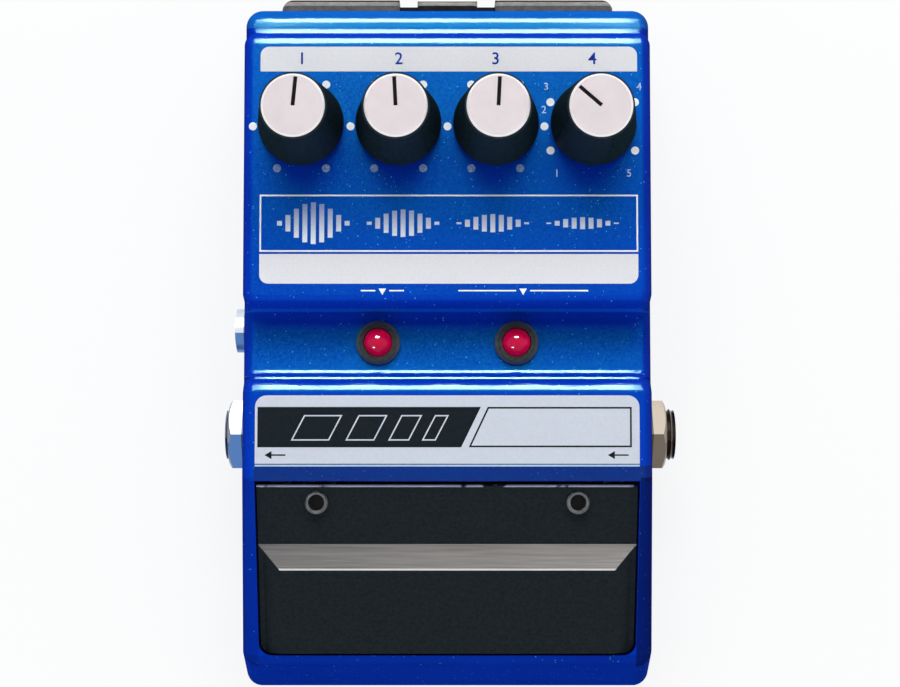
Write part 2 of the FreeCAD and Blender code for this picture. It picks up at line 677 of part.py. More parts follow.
def make_treadle():
    """Wedge-shaped cast treadle, hollow below, with a bevelled foot pad and plunger bosses."""
    body = new_body("treadle")
    side = new_sketch(body, "treadle_side", "YZ_Plane")
    add_polygon(side, [
        ("treadle_rear", "treadle_high"),
        ("treadle_rear", "hinge_z - 1.8"),
        ("treadle_front", "treadle_low - 2"),
        ("treadle_front", "treadle_low"),
    ])
    pad(body, side, "treadle_width", "treadle_wedge", symmetric=True)

    crown = body.newObject("PartDesign::AdditiveWedge", "foot_pad")
    along = f"cos(atan({FALL}))"
    crown.Placement = Placement(Vector(0, 0, 0), Rotation(Vector(1, 0, 0), 90))
    bind(
        crown,
        Xmin="-pad_foot_half", Xmax="pad_foot_half", X2min="-pad_half", X2max="pad_half",
        Ymin="-0.4", Ymax="pad_rise", Zmin="0", Z2min=f"(pad_start - pad_flat) / {along}",
        Zmax=f"(pad_start - treadle_front) / {along} + 3", Z2max=f"(pad_start - treadle_front) / {along} + 3",
        Placement__Base__y="pad_start",
        Placement__Base__z=f"treadle_high - (treadle_rear - pad_start) * {FALL}",
        Placement__Rotation__Angle=f"90 deg + atan({FALL})",
    )
    trimmed = join(body, "Common", make_treadle_plan(), "treadle_trimmed")
    rear, crest = size("treadle_rear"), size("treadle_high")
    round_edges(
        body, trimmed, "0.35", "treadle_rear_edge",
        lambda m, d, lo, hi: abs(m.y - rear) < 0.01 and lo > crest - 0.01,
    )

    skin = f"(treadle_skin / cos(atan({FALL})))"
    rise = f"(pad_rise / cos(atan({FALL})))"
    room = new_sketch(body, "treadle_room_side", "YZ_Plane")
    add_polygon(room, [
        ("treadle_rear - treadle_skin", f"treadle_high - treadle_skin * {FALL} - {skin}"),
        ("treadle_rear - treadle_skin", "10"),
        ("treadle_front + treadle_skin", "10"),
        ("treadle_front + treadle_skin", f"treadle_low + treadle_skin * {FALL} - {skin}"),
    ])
    pocket(body, room, "treadle_width - 2 * treadle_skin", "treadle_room", symmetric=True)
    deeper = new_sketch(body, "pad_room_side", "YZ_Plane")
    add_polygon(deeper, [
        ("pad_flat - 1", f"treadle_high - (treadle_rear - pad_flat + 1) * {FALL} + {rise} - {skin}"),
        ("pad_flat - 1", "10"),
        ("treadle_front + treadle_skin", "10"),
        ("treadle_front + treadle_skin", f"treadle_low + treadle_skin * {FALL} + {rise} - {skin}"),
    ])
    pocket(body, deeper, "2 * pad_half - 1.2", "pad_room", symmetric=True)

    notches = new_sketch(body, "hook_notch_outline", "XZ_Plane", "-treadle_rear - 1")
    for sign in ("-", ""):
        add_rectangle(
            notches, f"{sign}hinge_x - {NOTCH_HALF}", f"{sign}hinge_x + {NOTCH_HALF}",
            "hinge_z - 6", "hinge_z + 3.2",
        )
    pocket(body, notches, "treadle_skin + 1.3", "hook_notches", up=True)
    bosses = new_sketch(body, "plunger_boss_outline", "XY_Plane", RETAINER_LOW)
    for sign in ("-", ""):
        add_circle(bosses, f"{sign}hinge_x", "hinge_y", PLUNGER_BOSS_RADIUS)
    into_skin = f"treadle_high - (treadle_rear - hinge_y + {PLUNGER_BOSS_RADIUS}) * {FALL} - 0.1"
    pad(body, bosses, f"{into_skin} - {RETAINER_LOW}", "plunger_bosses")
    bores = new_sketch(body, "plunger_bore_outline", "XY_Plane", "treadle_high + 1")
    for sign in ("-", ""):
        add_circle(bores, f"{sign}hinge_x", "hinge_y", "plunger_radius + running")
    pocket(body, bores, "treadle_high - hinge_z + 2", "plunger_bores")
    seats = new_sketch(body, "spring_seat_outline", "XY_Plane", "return_seat")
    for sign in ("-", ""):
        add_circle(seats, f"{sign}return_x", "return_y", SPRING_SEAT_RADIUS)
    into_skin = f"treadle_high - (treadle_rear - return_y + {SPRING_SEAT_RADIUS}) * {FALL} - 0.15"
    pad(body, seats, f"{into_skin} - return_seat", "spring_seats")
    return body


def make_release_plunger(label, across):
    """Hollow sprung button above, with the hinge's cross pin through the foot of its stem."""
    body = new_body(label)
    top = f"treadle_high - (treadle_rear - hinge_y) * {FALL} + 1"
    foot, floor = "hinge_z - pin_radius - 0.3", f"{SHOULDER} + 0.7"
    revolve(body, [
        ("0", foot),
        ("stem_radius", foot),
        ("stem_radius", SHOULDER),
        ("plunger_radius", SHOULDER),
        ("plunger_radius", f"{top} - {PLUNGER_BEVEL}"),
        (f"plunger_radius - {PLUNGER_BEVEL}", top),
        (f"plunger_radius - {PLUNGER_LIP}", top),
        (f"plunger_radius - {PLUNGER_LIP}", floor),
        ("0", floor),
    ], label + "_turned", across, "hinge_y")
    pin = new_sketch(body, label + "_pin_outline", "YZ_Plane")
    add_circle(pin, "0", "hinge_z", "pin_radius")
    pad(body, pin, PIN_LENGTH, label + "_pin", symmetric=True)
    return body


def make_knob(label, across):
    """Plain tapered knob, hollow below to clear the nut, with a seat for its metal cap."""
    body = new_body(label)
    revolve(body, [
        (f"shaft_radius + {SNUG}", f"{KNOB_LOW} + {KNOB_HOLLOW}"),
        (f"knob_base - {KNOB_WALL}", f"{KNOB_LOW} + {KNOB_HOLLOW}"),
        (f"knob_base - {KNOB_WALL}", KNOB_LOW),
        ("knob_base", KNOB_LOW),
        ("knob_top", KNOB_HIGH),
        (f"cap_radius + {SNUG}", KNOB_HIGH),
        (f"cap_radius + {SNUG}", f"{KNOB_HIGH} - {CAP_SEAT}"),
        ("0", f"{KNOB_HIGH} - {CAP_SEAT}"),
        ("0", f"{KNOB_HIGH} - {SHAFT_SEAT}"),
        (f"shaft_radius + {SNUG}", f"{KNOB_HIGH} - {SHAFT_SEAT}"),
    ], label + "_turned", across, DIAL_Y)
    return body


def make_knob_cap(label, across, turn):
    """Aluminium cap with a bevelled rim and an engraved pointer line."""
    body = new_body(label)
    outline = new_sketch(body, label + "_outline", "XY_Plane", f"{KNOB_HIGH} - {CAP_SEAT}")
    add_circle(outline, "0", "0", "cap_radius")
    disc = pad(body, outline, f"{CAP_SEAT} + {CAP_RISE}", label + "_disc")
    top = size(f"{KNOB_HIGH} + {CAP_RISE}")
    bevel_edges(body, disc, "0.35", label + "_bevel", lambda m, d, lo, hi: lo > top - 0.01)
    line = new_sketch(body, label + "_line_outline", "XY_Plane", f"{KNOB_HIGH} + {CAP_RISE}")
    add_rectangle(line, f"-{POINTER_HALF}", POINTER_HALF, "-0.1", "cap_radius - 0.5")
    pocket(body, line, "0.3", label + "_line")
    bind(body, Placement__Base__x=across, Placement__Base__y=DIAL_Y)
    body.Placement.Rotation = Rotation(Vector(0, 0, 1), turn)
    return body


def make_dial_body(label, across, half_x, front, rear):
    """Body of a dial control with its threaded bushing, bored for the shaft."""
    box = block(
        label + "_box", f"{across} - {half_x}", f"{across} + {half_x}", f"{DIAL_Y} - {front}",
        f"{DIAL_Y} + {rear}", f"{PANEL_UNDER} - {DIAL_BODY_HIGH}", PANEL_UNDER,
    )
    thread = rod(label + "_thread", "bush_radius", f"{PANEL_UNDER} - 1", "panel_level + 3.6", across, DIAL_Y)
    bore = rod(
        label + "_bore", "shaft_radius + running", f"{PANEL_UNDER} - 4.7", "panel_level + 5", across, DIAL_Y
    )
    return cut(label, fuse(label + "_solid", [box, thread]), bore)


def make_board(label, left, right, front, rear, low):
    return block(label, left, right, front, rear, low, f"{low} + board_thick")


def make_screws(label, places, shank, shank_top, head, head_low, seat):
    screws = []
    for number, (across, along) in enumerate(places, start=1):
        name = f"{label}_{number}"
        screws.append(fuse(name, [
            rod(name + "_shank", shank, seat, shank_top, across, along),
            rod(name + "_head", head, head_low, seat, across, along),
        ]))
    return group(label, screws)


def make_lamp(label, across):
    """A five millimetre lamp: flange, barrel and a lens that narrows to a blunt tip."""
    body = new_body(label)
    revolve(body, [
        ("0", LAMP_BASE),
        (f"lamp_radius + {LAMP_FLANGE}", LAMP_BASE),
        (f"lamp_radius + {LAMP_FLANGE}", f"{LAMP_BASE} + 0.98"),
        ("lamp_radius", f"{LAMP_BASE} + 0.98"),
        ("lamp_radius", "deck_level + 1.9"),
        ("0.85 * lamp_radius", "deck_level + 2.9"),
        ("0.5 * lamp_radius", "deck_level + 3.5"),
        ("0", "deck_level + 3.7"),
    ], label + "_lens", across, "lamp_y")
    return body


def make_bezel(label, across):
    body = new_body(label)
    revolve(body, [
        ("lamp_radius + 0.15", "deck_level - 3"),
        (BEZEL_STEM, "deck_level - 3"),
        (BEZEL_STEM, "deck_level"),
        ("bezel_radius", "deck_level"),
        ("bezel_radius", "deck_level + 0.7"),
        ("bezel_radius - 0.5", "deck_level + 1.7"),
        ("lamp_radius + 0.15", "deck_level + 1.9"),
    ], label + "_ring", across, "lamp_y")
    return body


def make_side_socket(name, sign, reach):
    """One quarter-inch socket: plastic body with its pins, metal bushing through the wall, outer nut."""
    def span(near, far):
        ends = [f"{sign}({near})", f"{sign}({far})"]
        return sorted(ends, key=size)
    inner = "seat_x - 2.9"
    box_ends = span(f"{inner} - {SOCKET_LONG}", inner)
    box = block(
        name + "_box", box_ends[0], box_ends[1],
        f"socket_y - {SOCKET_HALF_WIDE}", f"socket_y + {SOCKET_HALF_WIDE}",
        f"socket_z - {SOCKET_HALF_HIGH}", f"socket_z + {SOCKET_HALF_HIGH}",
    )
    bore_ends = span(f"{inner} - 21.5", f"{inner} + 1")
    bore = rod(name + "_bore", "plug_radius", bore_ends[0], bore_ends[1], "socket_y", "socket_z", "X")
    cut(name + "_body", box, bore)
    ends = span(inner, reach)
    tube(name + "_bushing", "thread_radius", "plug_radius", ends[0], ends[1], "socket_y", "socket_z", "X")
    nut_ends = span("seat_x", f"seat_x + {SOCKET_NUT_THICK}")
    nut = hexagon(name + "_nut_blank", "nut_flats", nut_ends[0], nut_ends[1], "socket_y", "socket_z", "X")
    hole = rod(
        name + "_nut_hole", f"thread_radius + {THREAD_FIT}", f"{nut_ends[0]} - 1", f"{nut_ends[1]} + 1",
        "socket_y", "socket_z", "X",
    )
    pins = [
        block(
            f"{name}_pin_{number}", f"{sign}{near} - 0.6", f"{sign}{near} + 0.6", "socket_y - 0.3",
            "socket_y + 0.3", BOARD_TOP, f"socket_z - {SOCKET_HALF_HIGH}",
        )
        for number, near in enumerate(("13", "19", "30"), start=1)
    ]
    return cut(name + "_nut", nut, hole), pins


# The case and what closes it.
make_housing()
make_bottom_plate()
make_sole()
make_screws(
    "bottom_screws", PLATE_SCREWS, SCREW_RADIUS, f"{FLOOR} + {SCREW_DEPTH}",
    SCREW_HEAD_RADIUS, f"rim_level - {SCREW_HEAD_HIGH}", "rim_level",
)

# Treadle, its release plungers and springs.
make_treadle()
retainers = []
for side_name, side_x in (("left", "-hinge_x"), ("right", "hinge_x")):
    make_release_plunger(f"release_plunger_{side_name}", side_x)
    tube(
        f"plunger_spring_{side_name}", "plunger_radius - 0.15", "stem_radius + 0.3", RETAINER_TOP, SHOULDER,
        side_x, "hinge_y",
    )
    retainers.append(tube(
        f"retainer_{side_name}", "plunger_radius + running", "stem_radius + running", RETAINER_LOW,
        RETAINER_TOP, side_x, "hinge_y",
    ))
group("plunger_retainers", retainers)
group("treadle_springs", [
    tube(
        f"treadle_spring_{side_name}", SPRING_RADIUS, SPRING_INNER_RADIUS, "shelf_level", "return_seat",
        spring_x, "return_y",
    )
    for side_name, spring_x in (("left", "-return_x"), ("right", "return_x"))
])

# Foot switch on its own small board.
block(
    "footswitch_board", "switch_x - 3.1", "switch_x + 3.3", "switch_y - 4.3", "switch_y + 4.5",
    "shelf_level", "shelf_level + 1",
)
SWITCH_FOOT = "(shelf_level + 1)"
SWITCH_FRONT = "(switch_y - 1.5)"
switch_box = block(
    "switch_box", f"switch_x - {SWITCH_HALF}", f"switch_x + {SWITCH_HALF}", f"switch_y - {SWITCH_HALF}",
    f"switch_y + {SWITCH_HALF}", SWITCH_FOOT, f"{SWITCH_FOOT} + {SWITCH_HIGH}",
)
switch_bore = rod(
    "switch_bore", f"{BUTTON_RADIUS} + running", f"{SWITCH_FOOT} + 1", f"{SWITCH_FOOT} + 8",
    "switch_x", "switch_y",
)
cut("footswitch_body", switch_box, switch_bore)
skin_drop = f"(treadle_rear - {SWITCH_FRONT}) * {FALL} + treadle_skin / cos(atan({FALL})) + free_gap"
rod(
    "footswitch_plunger", BUTTON_RADIUS, f"{SWITCH_FOOT} + 2.5", f"treadle_high - ({skin_drop})",
    "switch_x", "switch_y",
)

# Battery, snap and leads.
BATTERY_LEFT = "(-22.3)"
BATTERY_REAR = "(-25.2)"
BATTERY_FRONT = f"({BATTERY_REAR} - battery_wide)"
BATTERY_MIDDLE = f"({BATTERY_REAR} - battery_wide / 2)"
battery = new_body("battery")
battery_outline = new_sketch(battery, "battery_outline", "YZ_Plane", f"{BATTERY_LEFT} + 2.1")
add_rectangle(battery_outline, BATTERY_FRONT, BATTERY_REAR, FLOOR, f"{FLOOR} + battery_high")
pad(battery, battery_outline, "battery_long - 2.1", "battery_can")
terminals = new_sketch(battery, "terminal_outline", "YZ_Plane", f"{BATTERY_LEFT}")
TERMINALS = [(f"{BATTERY_MIDDLE} - 6.35", "2.8"), (f"{BATTERY_MIDDLE} + 6.35", "4")]
for terminal_y, terminal_radius in TERMINALS:
    add_circle(terminals, terminal_y, f"{FLOOR} + battery_high / 2", terminal_radius)
pad(battery, terminals, "2.3", "terminals")
snap = new_body("battery_snap")
snap_outline = new_sketch(snap, "snap_outline", "YZ_Plane", f"{BATTERY_LEFT} + 2")
add_rectangle(
    snap_outline, f"{BATTERY_FRONT} + 0.4", f"{BATTERY_REAR} - 0.4",
    f"{FLOOR} + 2.2", f"{FLOOR} + battery_high - 2.2",
)
pad(snap, snap_outline, "4.2", "snap_block", down=True)
snap_holes = new_sketch(snap, "snap_hole_outline", "YZ_Plane", f"{BATTERY_LEFT} + 3")
for terminal_y, terminal_radius in TERMINALS:
    add_circle(snap_holes, terminal_y, f"{FLOOR} + battery_high / 2", f"{terminal_radius} + 0.1")
pocket(snap, snap_holes, "3.1", "snap_holes")
leads = []
for number, lead_x in enumerate(("-23", "-24.2"), start=1):
    strand = doc.addObject("Part::Cylinder", f"lead_{number}")
    strand.Placement = Placement(Vector(0, 0, 0), Rotation(Vector(1, 0, 0), -90))
    bind(
        strand, Radius="0.55", Height="partition_rear + 3 - well_rear + 1.1", Placement__Base__x=lead_x,
        Placement__Base__y="well_rear - 1", Placement__Base__z=f"{BOARD_TOP} + 0.8",
    )
    leads.append(strand)
group("battery_leads", leads)

# Dials: three turning controls and the stepped selector.
nuts = []
for number, (dial_x, turn) in enumerate(zip(DIALS, (-5.5, 3.0, -3.0, 49.0)), start=1):
    stepped = number == 4
    name = "selector" if stepped else f"dial_{number}"
    if stepped:
        make_dial_body("selector_switch_body", dial_x, "6.2", "6.2", "6.2")
    else:
        make_dial_body(f"dial_body_{number}", dial_x, "4.9", "6.4", "5")
    rod(f"{name}_shaft", "shaft_radius", f"{PANEL_UNDER} - 4.6", f"{KNOB_HIGH} - 4.6", dial_x, DIAL_Y)
    make_knob(f"{name}_knob", dial_x)
    make_knob_cap(f"{name}_cap", dial_x, turn)
    blank = hexagon(
        f"dial_nut_blank_{number}", DIAL_NUT_FLATS, "panel_level", f"panel_level + {DIAL_NUT_HIGH}",
        dial_x, DIAL_Y,
    )
    hole = rod(
        f"dial_nut_hole_{number}", f"bush_radius + {THREAD_FIT}", "panel_level - 1", "panel_level + 4",
        dial_x, DIAL_Y,
    )
    nuts.append(cut(f"dial_nut_{number}", blank, hole))
group("dial_nuts", nuts)

# Lamps.
legs = []
for side_name, lamp_place in (("left", "-lamp_x"), ("right", "lamp_x")):
    make_lamp(f"lamp_{side_name}", lamp_place)
    make_bezel(f"lamp_bezel_{side_name}", lamp_place)
    for offset in ("- 1.27", "+ 1.27"):
        legs.append(block(
            f"lamp_leg_{len(legs) + 1}", f"{lamp_place} {offset} - 0.25", f"{lamp_place} {offset} + 0.25",
            "lamp_y - 0.25", "lamp_y + 0.25", BOARD_TOP, LAMP_BASE,
        ))
group("lamp_legs", legs)

# Side sockets, power socket.
right_nut, right_pins = make_side_socket("input_socket", "", "input_reach")
left_nut, left_pins = make_side_socket("output_socket", "-", "output_reach")
group("socket_nuts", [right_nut, left_nut])
group("socket_pins", right_pins + left_pins)
POWER_INNER = "(-seat_x + 3)"
power_box = block(
    "power_box", POWER_INNER, f"{POWER_INNER} + 11.5", "power_y - 4.5", "power_y + 4.5",
    "socket_z - 5", "socket_z + 5",
)
power_bore = rod(
    "power_bore", POWER_BORE_RADIUS, f"{POWER_INNER} - 1", f"{POWER_INNER} + 10", "power_y", "socket_z", "X"
)
cut("power_socket_body", power_box, power_bore)
tube(
    "power_socket_bushing", POWER_THREAD_RADIUS, POWER_BORE_RADIUS, "-seat_x - 2.1", POWER_INNER,
    "power_y", "socket_z", "X",
)
tube(
    "power_socket_nut", POWER_NUT_RADIUS, f"{POWER_THREAD_RADIUS} + {THREAD_FIT}", "-seat_x - 1.9", "-seat_x",
    "power_y", "socket_z", "X",
)

# Circuit boards and what stands on them. Each chip is a row of its left, right, front and rear.
DIAL_BOARD_LOW = f"({PANEL_UNDER} - {DIAL_BODY_HIGH} - board_thick)"
CHIP_TOP = f"({BOARD_TOP} + 2.4)"
CHIPS = [("-7.7", "7.7", "14", "21.5"), ("-26", "-14", "24", "31.5"), ("15", "24", "20", "27")]
CAPACITOR_RADIUS = "3.15"
make_board("main_board", "-33", "33", "partition_rear + 2.2", f"{REAR} - 10.85", "board_level")
make_board("dial_board", "-31.6", "31.6", f"{DIAL_Y} - 8.6", f"{DIAL_Y} + 8.3", DIAL_BOARD_LOW)
block("board_link", "-10", "10", f"{DIAL_Y} - 7.4", f"{DIAL_Y} - 4.9", BOARD_TOP, DIAL_BOARD_LOW)
group("chips", [
    block(f"chip_{number}", *edges, BOARD_TOP, CHIP_TOP) for number, edges in enumerate(CHIPS, start=1)
])
group("capacitors", [
    rod(f"capacitor_{number}", CAPACITOR_RADIUS, BOARD_TOP, f"{BOARD_TOP} + 9", across, f"{DIAL_Y} + 3.4")
    for number, across in enumerate(("-20", "20"), start=1)
])

doc.recompute()

NODES = """
die_cast_housing bottom_plate rubber_sole bottom_screws treadle release_plunger_left
release_plunger_right plunger_spring_left plunger_spring_right plunger_retainers treadle_springs
footswitch_board footswitch_body footswitch_plunger battery battery_snap battery_leads
dial_body_1 dial_body_2 dial_body_3 selector_switch_body dial_1_shaft dial_2_shaft dial_3_shaft
selector_shaft dial_1_knob dial_2_knob dial_3_knob selector_knob dial_1_cap dial_2_cap dial_3_cap
selector_cap dial_nuts lamp_left lamp_right lamp_bezel_left lamp_bezel_right lamp_legs
input_socket_body input_socket_bushing output_socket_body output_socket_bushing socket_nuts
socket_pins power_socket_body power_socket_bushing power_socket_nut main_board
dial_board board_link chips capacitors
""".split()

for item in doc.Objects:
    if {"Invalid", "Error"} & set(item.State):
        raise RuntimeError(f"{item.Label} is {item.State}: {item.getStatusString()}")
for node in NODES:
    shape = doc.getObjectsByLabel(node)[0].Shape
    if shape.isNull() or not shape.isValid() or not shape.Solids:
        raise RuntimeError(f"{node} has no sound solid")
    shape.exportStep(f"parts/{node}.step")
print(f"{len(NODES)} nodes written")
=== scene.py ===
# %% [markdown]
# # A guitar delay pedal, dressed for its photograph
# The frame holds the pedal's solid parts: a die-cast case, a hinged treadle, three dials and a
# stepped selector, two lamps and the sockets. This file gives them their finishes, prints the
# panel, and sets the light and the camera. Everything is in metres, with Z up and the rear at +Y.

# %% Load the frame
import bmesh
import bpy
import json
import math
from mathutils import Matrix, Vector

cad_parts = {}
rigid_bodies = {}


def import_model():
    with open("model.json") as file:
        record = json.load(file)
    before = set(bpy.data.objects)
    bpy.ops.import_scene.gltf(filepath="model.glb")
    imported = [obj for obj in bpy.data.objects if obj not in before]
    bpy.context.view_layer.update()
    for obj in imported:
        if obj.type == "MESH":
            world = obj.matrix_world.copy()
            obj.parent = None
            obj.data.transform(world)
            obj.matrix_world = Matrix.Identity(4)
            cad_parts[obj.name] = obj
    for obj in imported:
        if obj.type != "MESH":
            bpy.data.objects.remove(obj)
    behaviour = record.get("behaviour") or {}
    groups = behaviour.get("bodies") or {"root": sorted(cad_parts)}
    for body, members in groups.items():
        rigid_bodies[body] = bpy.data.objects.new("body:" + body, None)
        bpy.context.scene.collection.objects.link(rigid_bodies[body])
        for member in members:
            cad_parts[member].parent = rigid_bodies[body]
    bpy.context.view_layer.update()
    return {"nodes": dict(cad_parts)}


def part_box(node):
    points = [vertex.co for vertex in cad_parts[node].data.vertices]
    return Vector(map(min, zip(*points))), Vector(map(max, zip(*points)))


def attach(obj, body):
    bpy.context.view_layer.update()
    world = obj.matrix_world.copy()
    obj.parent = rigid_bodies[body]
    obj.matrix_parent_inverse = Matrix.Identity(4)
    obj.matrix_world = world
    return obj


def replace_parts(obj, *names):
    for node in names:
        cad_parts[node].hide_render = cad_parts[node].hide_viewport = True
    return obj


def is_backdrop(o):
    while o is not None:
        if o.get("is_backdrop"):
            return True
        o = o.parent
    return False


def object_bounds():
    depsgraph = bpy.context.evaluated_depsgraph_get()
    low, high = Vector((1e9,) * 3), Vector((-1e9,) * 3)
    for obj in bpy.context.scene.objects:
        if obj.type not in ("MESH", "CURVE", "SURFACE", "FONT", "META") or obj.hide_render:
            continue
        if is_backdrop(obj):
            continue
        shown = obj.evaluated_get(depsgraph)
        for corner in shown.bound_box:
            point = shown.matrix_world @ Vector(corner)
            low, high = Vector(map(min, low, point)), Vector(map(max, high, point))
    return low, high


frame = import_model()
nodes = frame["nodes"]
MM = 0.001

# %% [markdown]
# ## Places
# The printing and the dressed pieces stand on faces of the frame, so their heights and centres
# are read from it. What only a print or a finish has is named beside it, as a size on the object.

# %% Read the places from the frame
PLATEAU_DROP = 4 * MM
VALLEY_DROP = 9 * MM
case_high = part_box("die_cast_housing")[1]
DIALS = ["dial_1", "dial_2", "dial_3", "selector"]


def centre(node):
    low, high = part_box(node)
    return (low + high) / 2


dial_places = [centre(f"{name}_knob") for name in DIALS]
lamp_places = [centre("lamp_left"), centre("lamp_right")]
panel_z = case_high.z
plateau_z = panel_z - PLATEAU_DROP
deck_z = panel_z - VALLEY_DROP
print("panel at", round(panel_z / MM, 2), "mm, dials at", [round(p.x / MM, 1) for p in dial_places])

# %% [markdown]
# ## Camera
# The photograph looks almost straight down on the pedal from about 34 cm above the floor, a
# little in front of its middle and tipped slightly to the rear. The lens makes the case as wide
# in the frame as it is in the photograph.

# %% Camera over the pedal
CAMERA_HEIGHT = 337 * MM
CAMERA_PLACE = Vector((0.48 * MM, -19.3 * MM, CAMERA_HEIGHT))
CAMERA_TIP = math.radians(3.479)
SENSOR_WIDTH = 36
LENS_LENGTH = 70.36

camera_data = bpy.data.cameras.new("overhead_camera")
camera_data.sensor_width = SENSOR_WIDTH
camera_data.lens = LENS_LENGTH
camera = bpy.data.objects.new("overhead_camera", camera_data)
camera.location = CAMERA_PLACE
camera.rotation_euler = (CAMERA_TIP, 0, 0)
bpy.context.scene.collection.objects.link(camera)
bpy.context.scene.camera = camera
print("camera at", [round(v / MM) for v in camera.location], "mm")

# %% [markdown]
# ## Floor, light and background
# The photograph's ground is plain white. A camera ray, and a ray that a mirror or a lens sends on,
# sees the world and the floor as white, while the object itself is lit by a much weaker world and
# by a few lamps. The floor still takes the pedal's shadow, because a part of what the camera sees
# of it is plain paper.

# %% What the camera sees of the world and the floor
scene = bpy.context.scene
scene.view_settings.view_transform = "Standard"
WHITE = (1, 1, 1, 1)


def white_to_the_eye(tree, seen, unseen):
    """Mixes two shaders by whether a camera, glossy or transmission ray meets them."""
    paths = tree.nodes.new("ShaderNodeLightPath")
    highest = paths.outputs["Is Camera Ray"]
    for kind in ("Is Glossy Ray", "Is Transmission Ray"):
        either = tree.nodes.new("ShaderNodeMath")
        either.operation = "MAXIMUM"
        tree.links.new(highest, either.inputs[0])
        tree.links.new(paths.outputs[kind], either.inputs[1])
        highest = either.outputs[0]
    mix = tree.nodes.new("ShaderNodeMixShader")
    tree.links.new(highest, mix.inputs[0])
    tree.links.new(unseen, mix.inputs[1])
    tree.links.new(seen, mix.inputs[2])
    return mix.outputs[0]


print("view transform:", scene.view_settings.view_transform)

# %% [markdown]
# The world is a soft, slightly cool room. It could be a picture of a real room, but a plain level
# lights every face alike and leaves the reflections to the lamps, which can be placed one by one.

# %% World
WORLD_LEVEL = 0.37
ROOM_TINT = (0.93, 0.96, 1.0, 1)
world = bpy.data.worlds.new("soft_room")
scene.world = world
world.use_nodes = True
room = world.node_tree
room.nodes.clear()
lit = room.nodes.new("ShaderNodeBackground")
lit.inputs["Color"].default_value = ROOM_TINT
lit.inputs["Strength"].default_value = WORLD_LEVEL
white = room.nodes.new("ShaderNodeBackground")
white.inputs["Color"].default_value = WHITE
white.inputs["Strength"].default_value = 1.0
room_out = room.nodes.new("ShaderNodeOutputWorld")
room.links.new(white_to_the_eye(room, white.outputs[0], lit.outputs[0]), room_out.inputs[0])
print("world at", WORLD_LEVEL)

# %% [markdown]
# The floor is a wide sheet of paper under the sole. Most of what the camera sees of it glows at
# exactly white, and the rest is real paper that takes the shadow, so the shadow stays faint.

# %% Floor
SHADOW_SHARE = 0.17
FLOOR_HALF = 1.5
PAPER_DARK = (0.93, 0.93, 0.93, 1)
PAPER_LIGHT = (0.97, 0.97, 0.97, 1)

floor_mesh = bmesh.new()
bmesh.ops.create_grid(floor_mesh, x_segments=1, y_segments=1, size=FLOOR_HALF)
floor_data = bpy.data.meshes.new("floor")
floor_mesh.to_mesh(floor_data)
floor_mesh.free()
floor = bpy.data.objects.new("floor", floor_data)
scene.collection.objects.link(floor)
floor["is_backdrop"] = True

paper = bpy.data.materials.new("pale_floor")
paper.use_nodes = True
sheet = paper.node_tree
paper_shader = sheet.nodes["Principled BSDF"]
paper_shader.inputs["Roughness"].default_value = 0.9
paper_noise = sheet.nodes.new("ShaderNodeTexNoise")
paper_noise.inputs["Scale"].default_value = 40
paper_ramp = sheet.nodes.new("ShaderNodeValToRGB")
paper_ramp.color_ramp.elements[0].color = PAPER_DARK
paper_ramp.color_ramp.elements[1].color = PAPER_LIGHT
sheet.links.new(paper_noise.outputs["Fac"], paper_ramp.inputs[0])
sheet.links.new(paper_ramp.outputs[0], paper_shader.inputs["Base Color"])
glow = sheet.nodes.new("ShaderNodeEmission")
glow.inputs["Strength"].default_value = 1.0
bright_paper = sheet.nodes.new("ShaderNodeMixShader")
bright_paper.inputs[0].default_value = SHADOW_SHARE
sheet.links.new(glow.outputs[0], bright_paper.inputs[1])
sheet.links.new(paper_shader.outputs[0], bright_paper.inputs[2])
seen_paper = white_to_the_eye(sheet, bright_paper.outputs[0], paper_shader.outputs[0])
sheet.links.new(seen_paper, sheet.nodes["Material Output"].inputs[0])
floor.data.materials.append(paper)
print("white floor with", SHADOW_SHARE, "of its shadow")

# %% [markdown]
# The brightest lines in the photograph run along every edge that turns toward the rear: they are
# the reflection of a bright window behind the pedal. That window gives only little of the light on
# flat faces, so it is made of lamps side by side. One lights diffuse faces at a plain level and
# shows in no reflection; the other is the bright pane and shows only in reflections. Bare metal
# would burn out under that pane, so it has a dimmer one of its own. The three hang a little behind
# one another: a mirrored ray that has met a lamp goes on from there, and would miss a second lamp
# that lies in the same plane. The two lamps for the red lenses are reflections too: the photograph
# has a bright point on the rear of each dome and a smaller one at its front left.

# %% Lamps
PEDAL_MIDDLE = Vector((0, 0, 0.02))


def soft_lamp(name, place, width, depth, power, colour):
    """A rectangular area lamp at place, turned to shine at the middle of the pedal."""
    data = bpy.data.lights.new(name, "AREA")
    data.shape = "RECTANGLE"
    data.size = width
    data.size_y = depth
    data.energy = power
    data.color = colour
    lamp = bpy.data.objects.new(name, data)
    lamp.location = place
    aim = PEDAL_MIDDLE - Vector(place)
    lamp.rotation_euler = aim.to_track_quat("-Z", "Y").to_euler()
    scene.collection.objects.link(lamp)
    return lamp


WINDOW = (0.0, 0.60, 0.67)
NEAR_PANE = (0.0, 0.58, 0.65)
NEXT_PANE = (0.0, 0.59, 0.66)
LENS_WINDOW = (-0.04, 0.66, 0.67)
LENS_POINT = (-0.42, -0.56, 0.50)
CYAN_PANE = (0.56, 1.0, 0.95)
WARM_PANE = (1.0, 0.98, 0.95)
PLAIN_WHITE = (1.0, 1.0, 1.0)

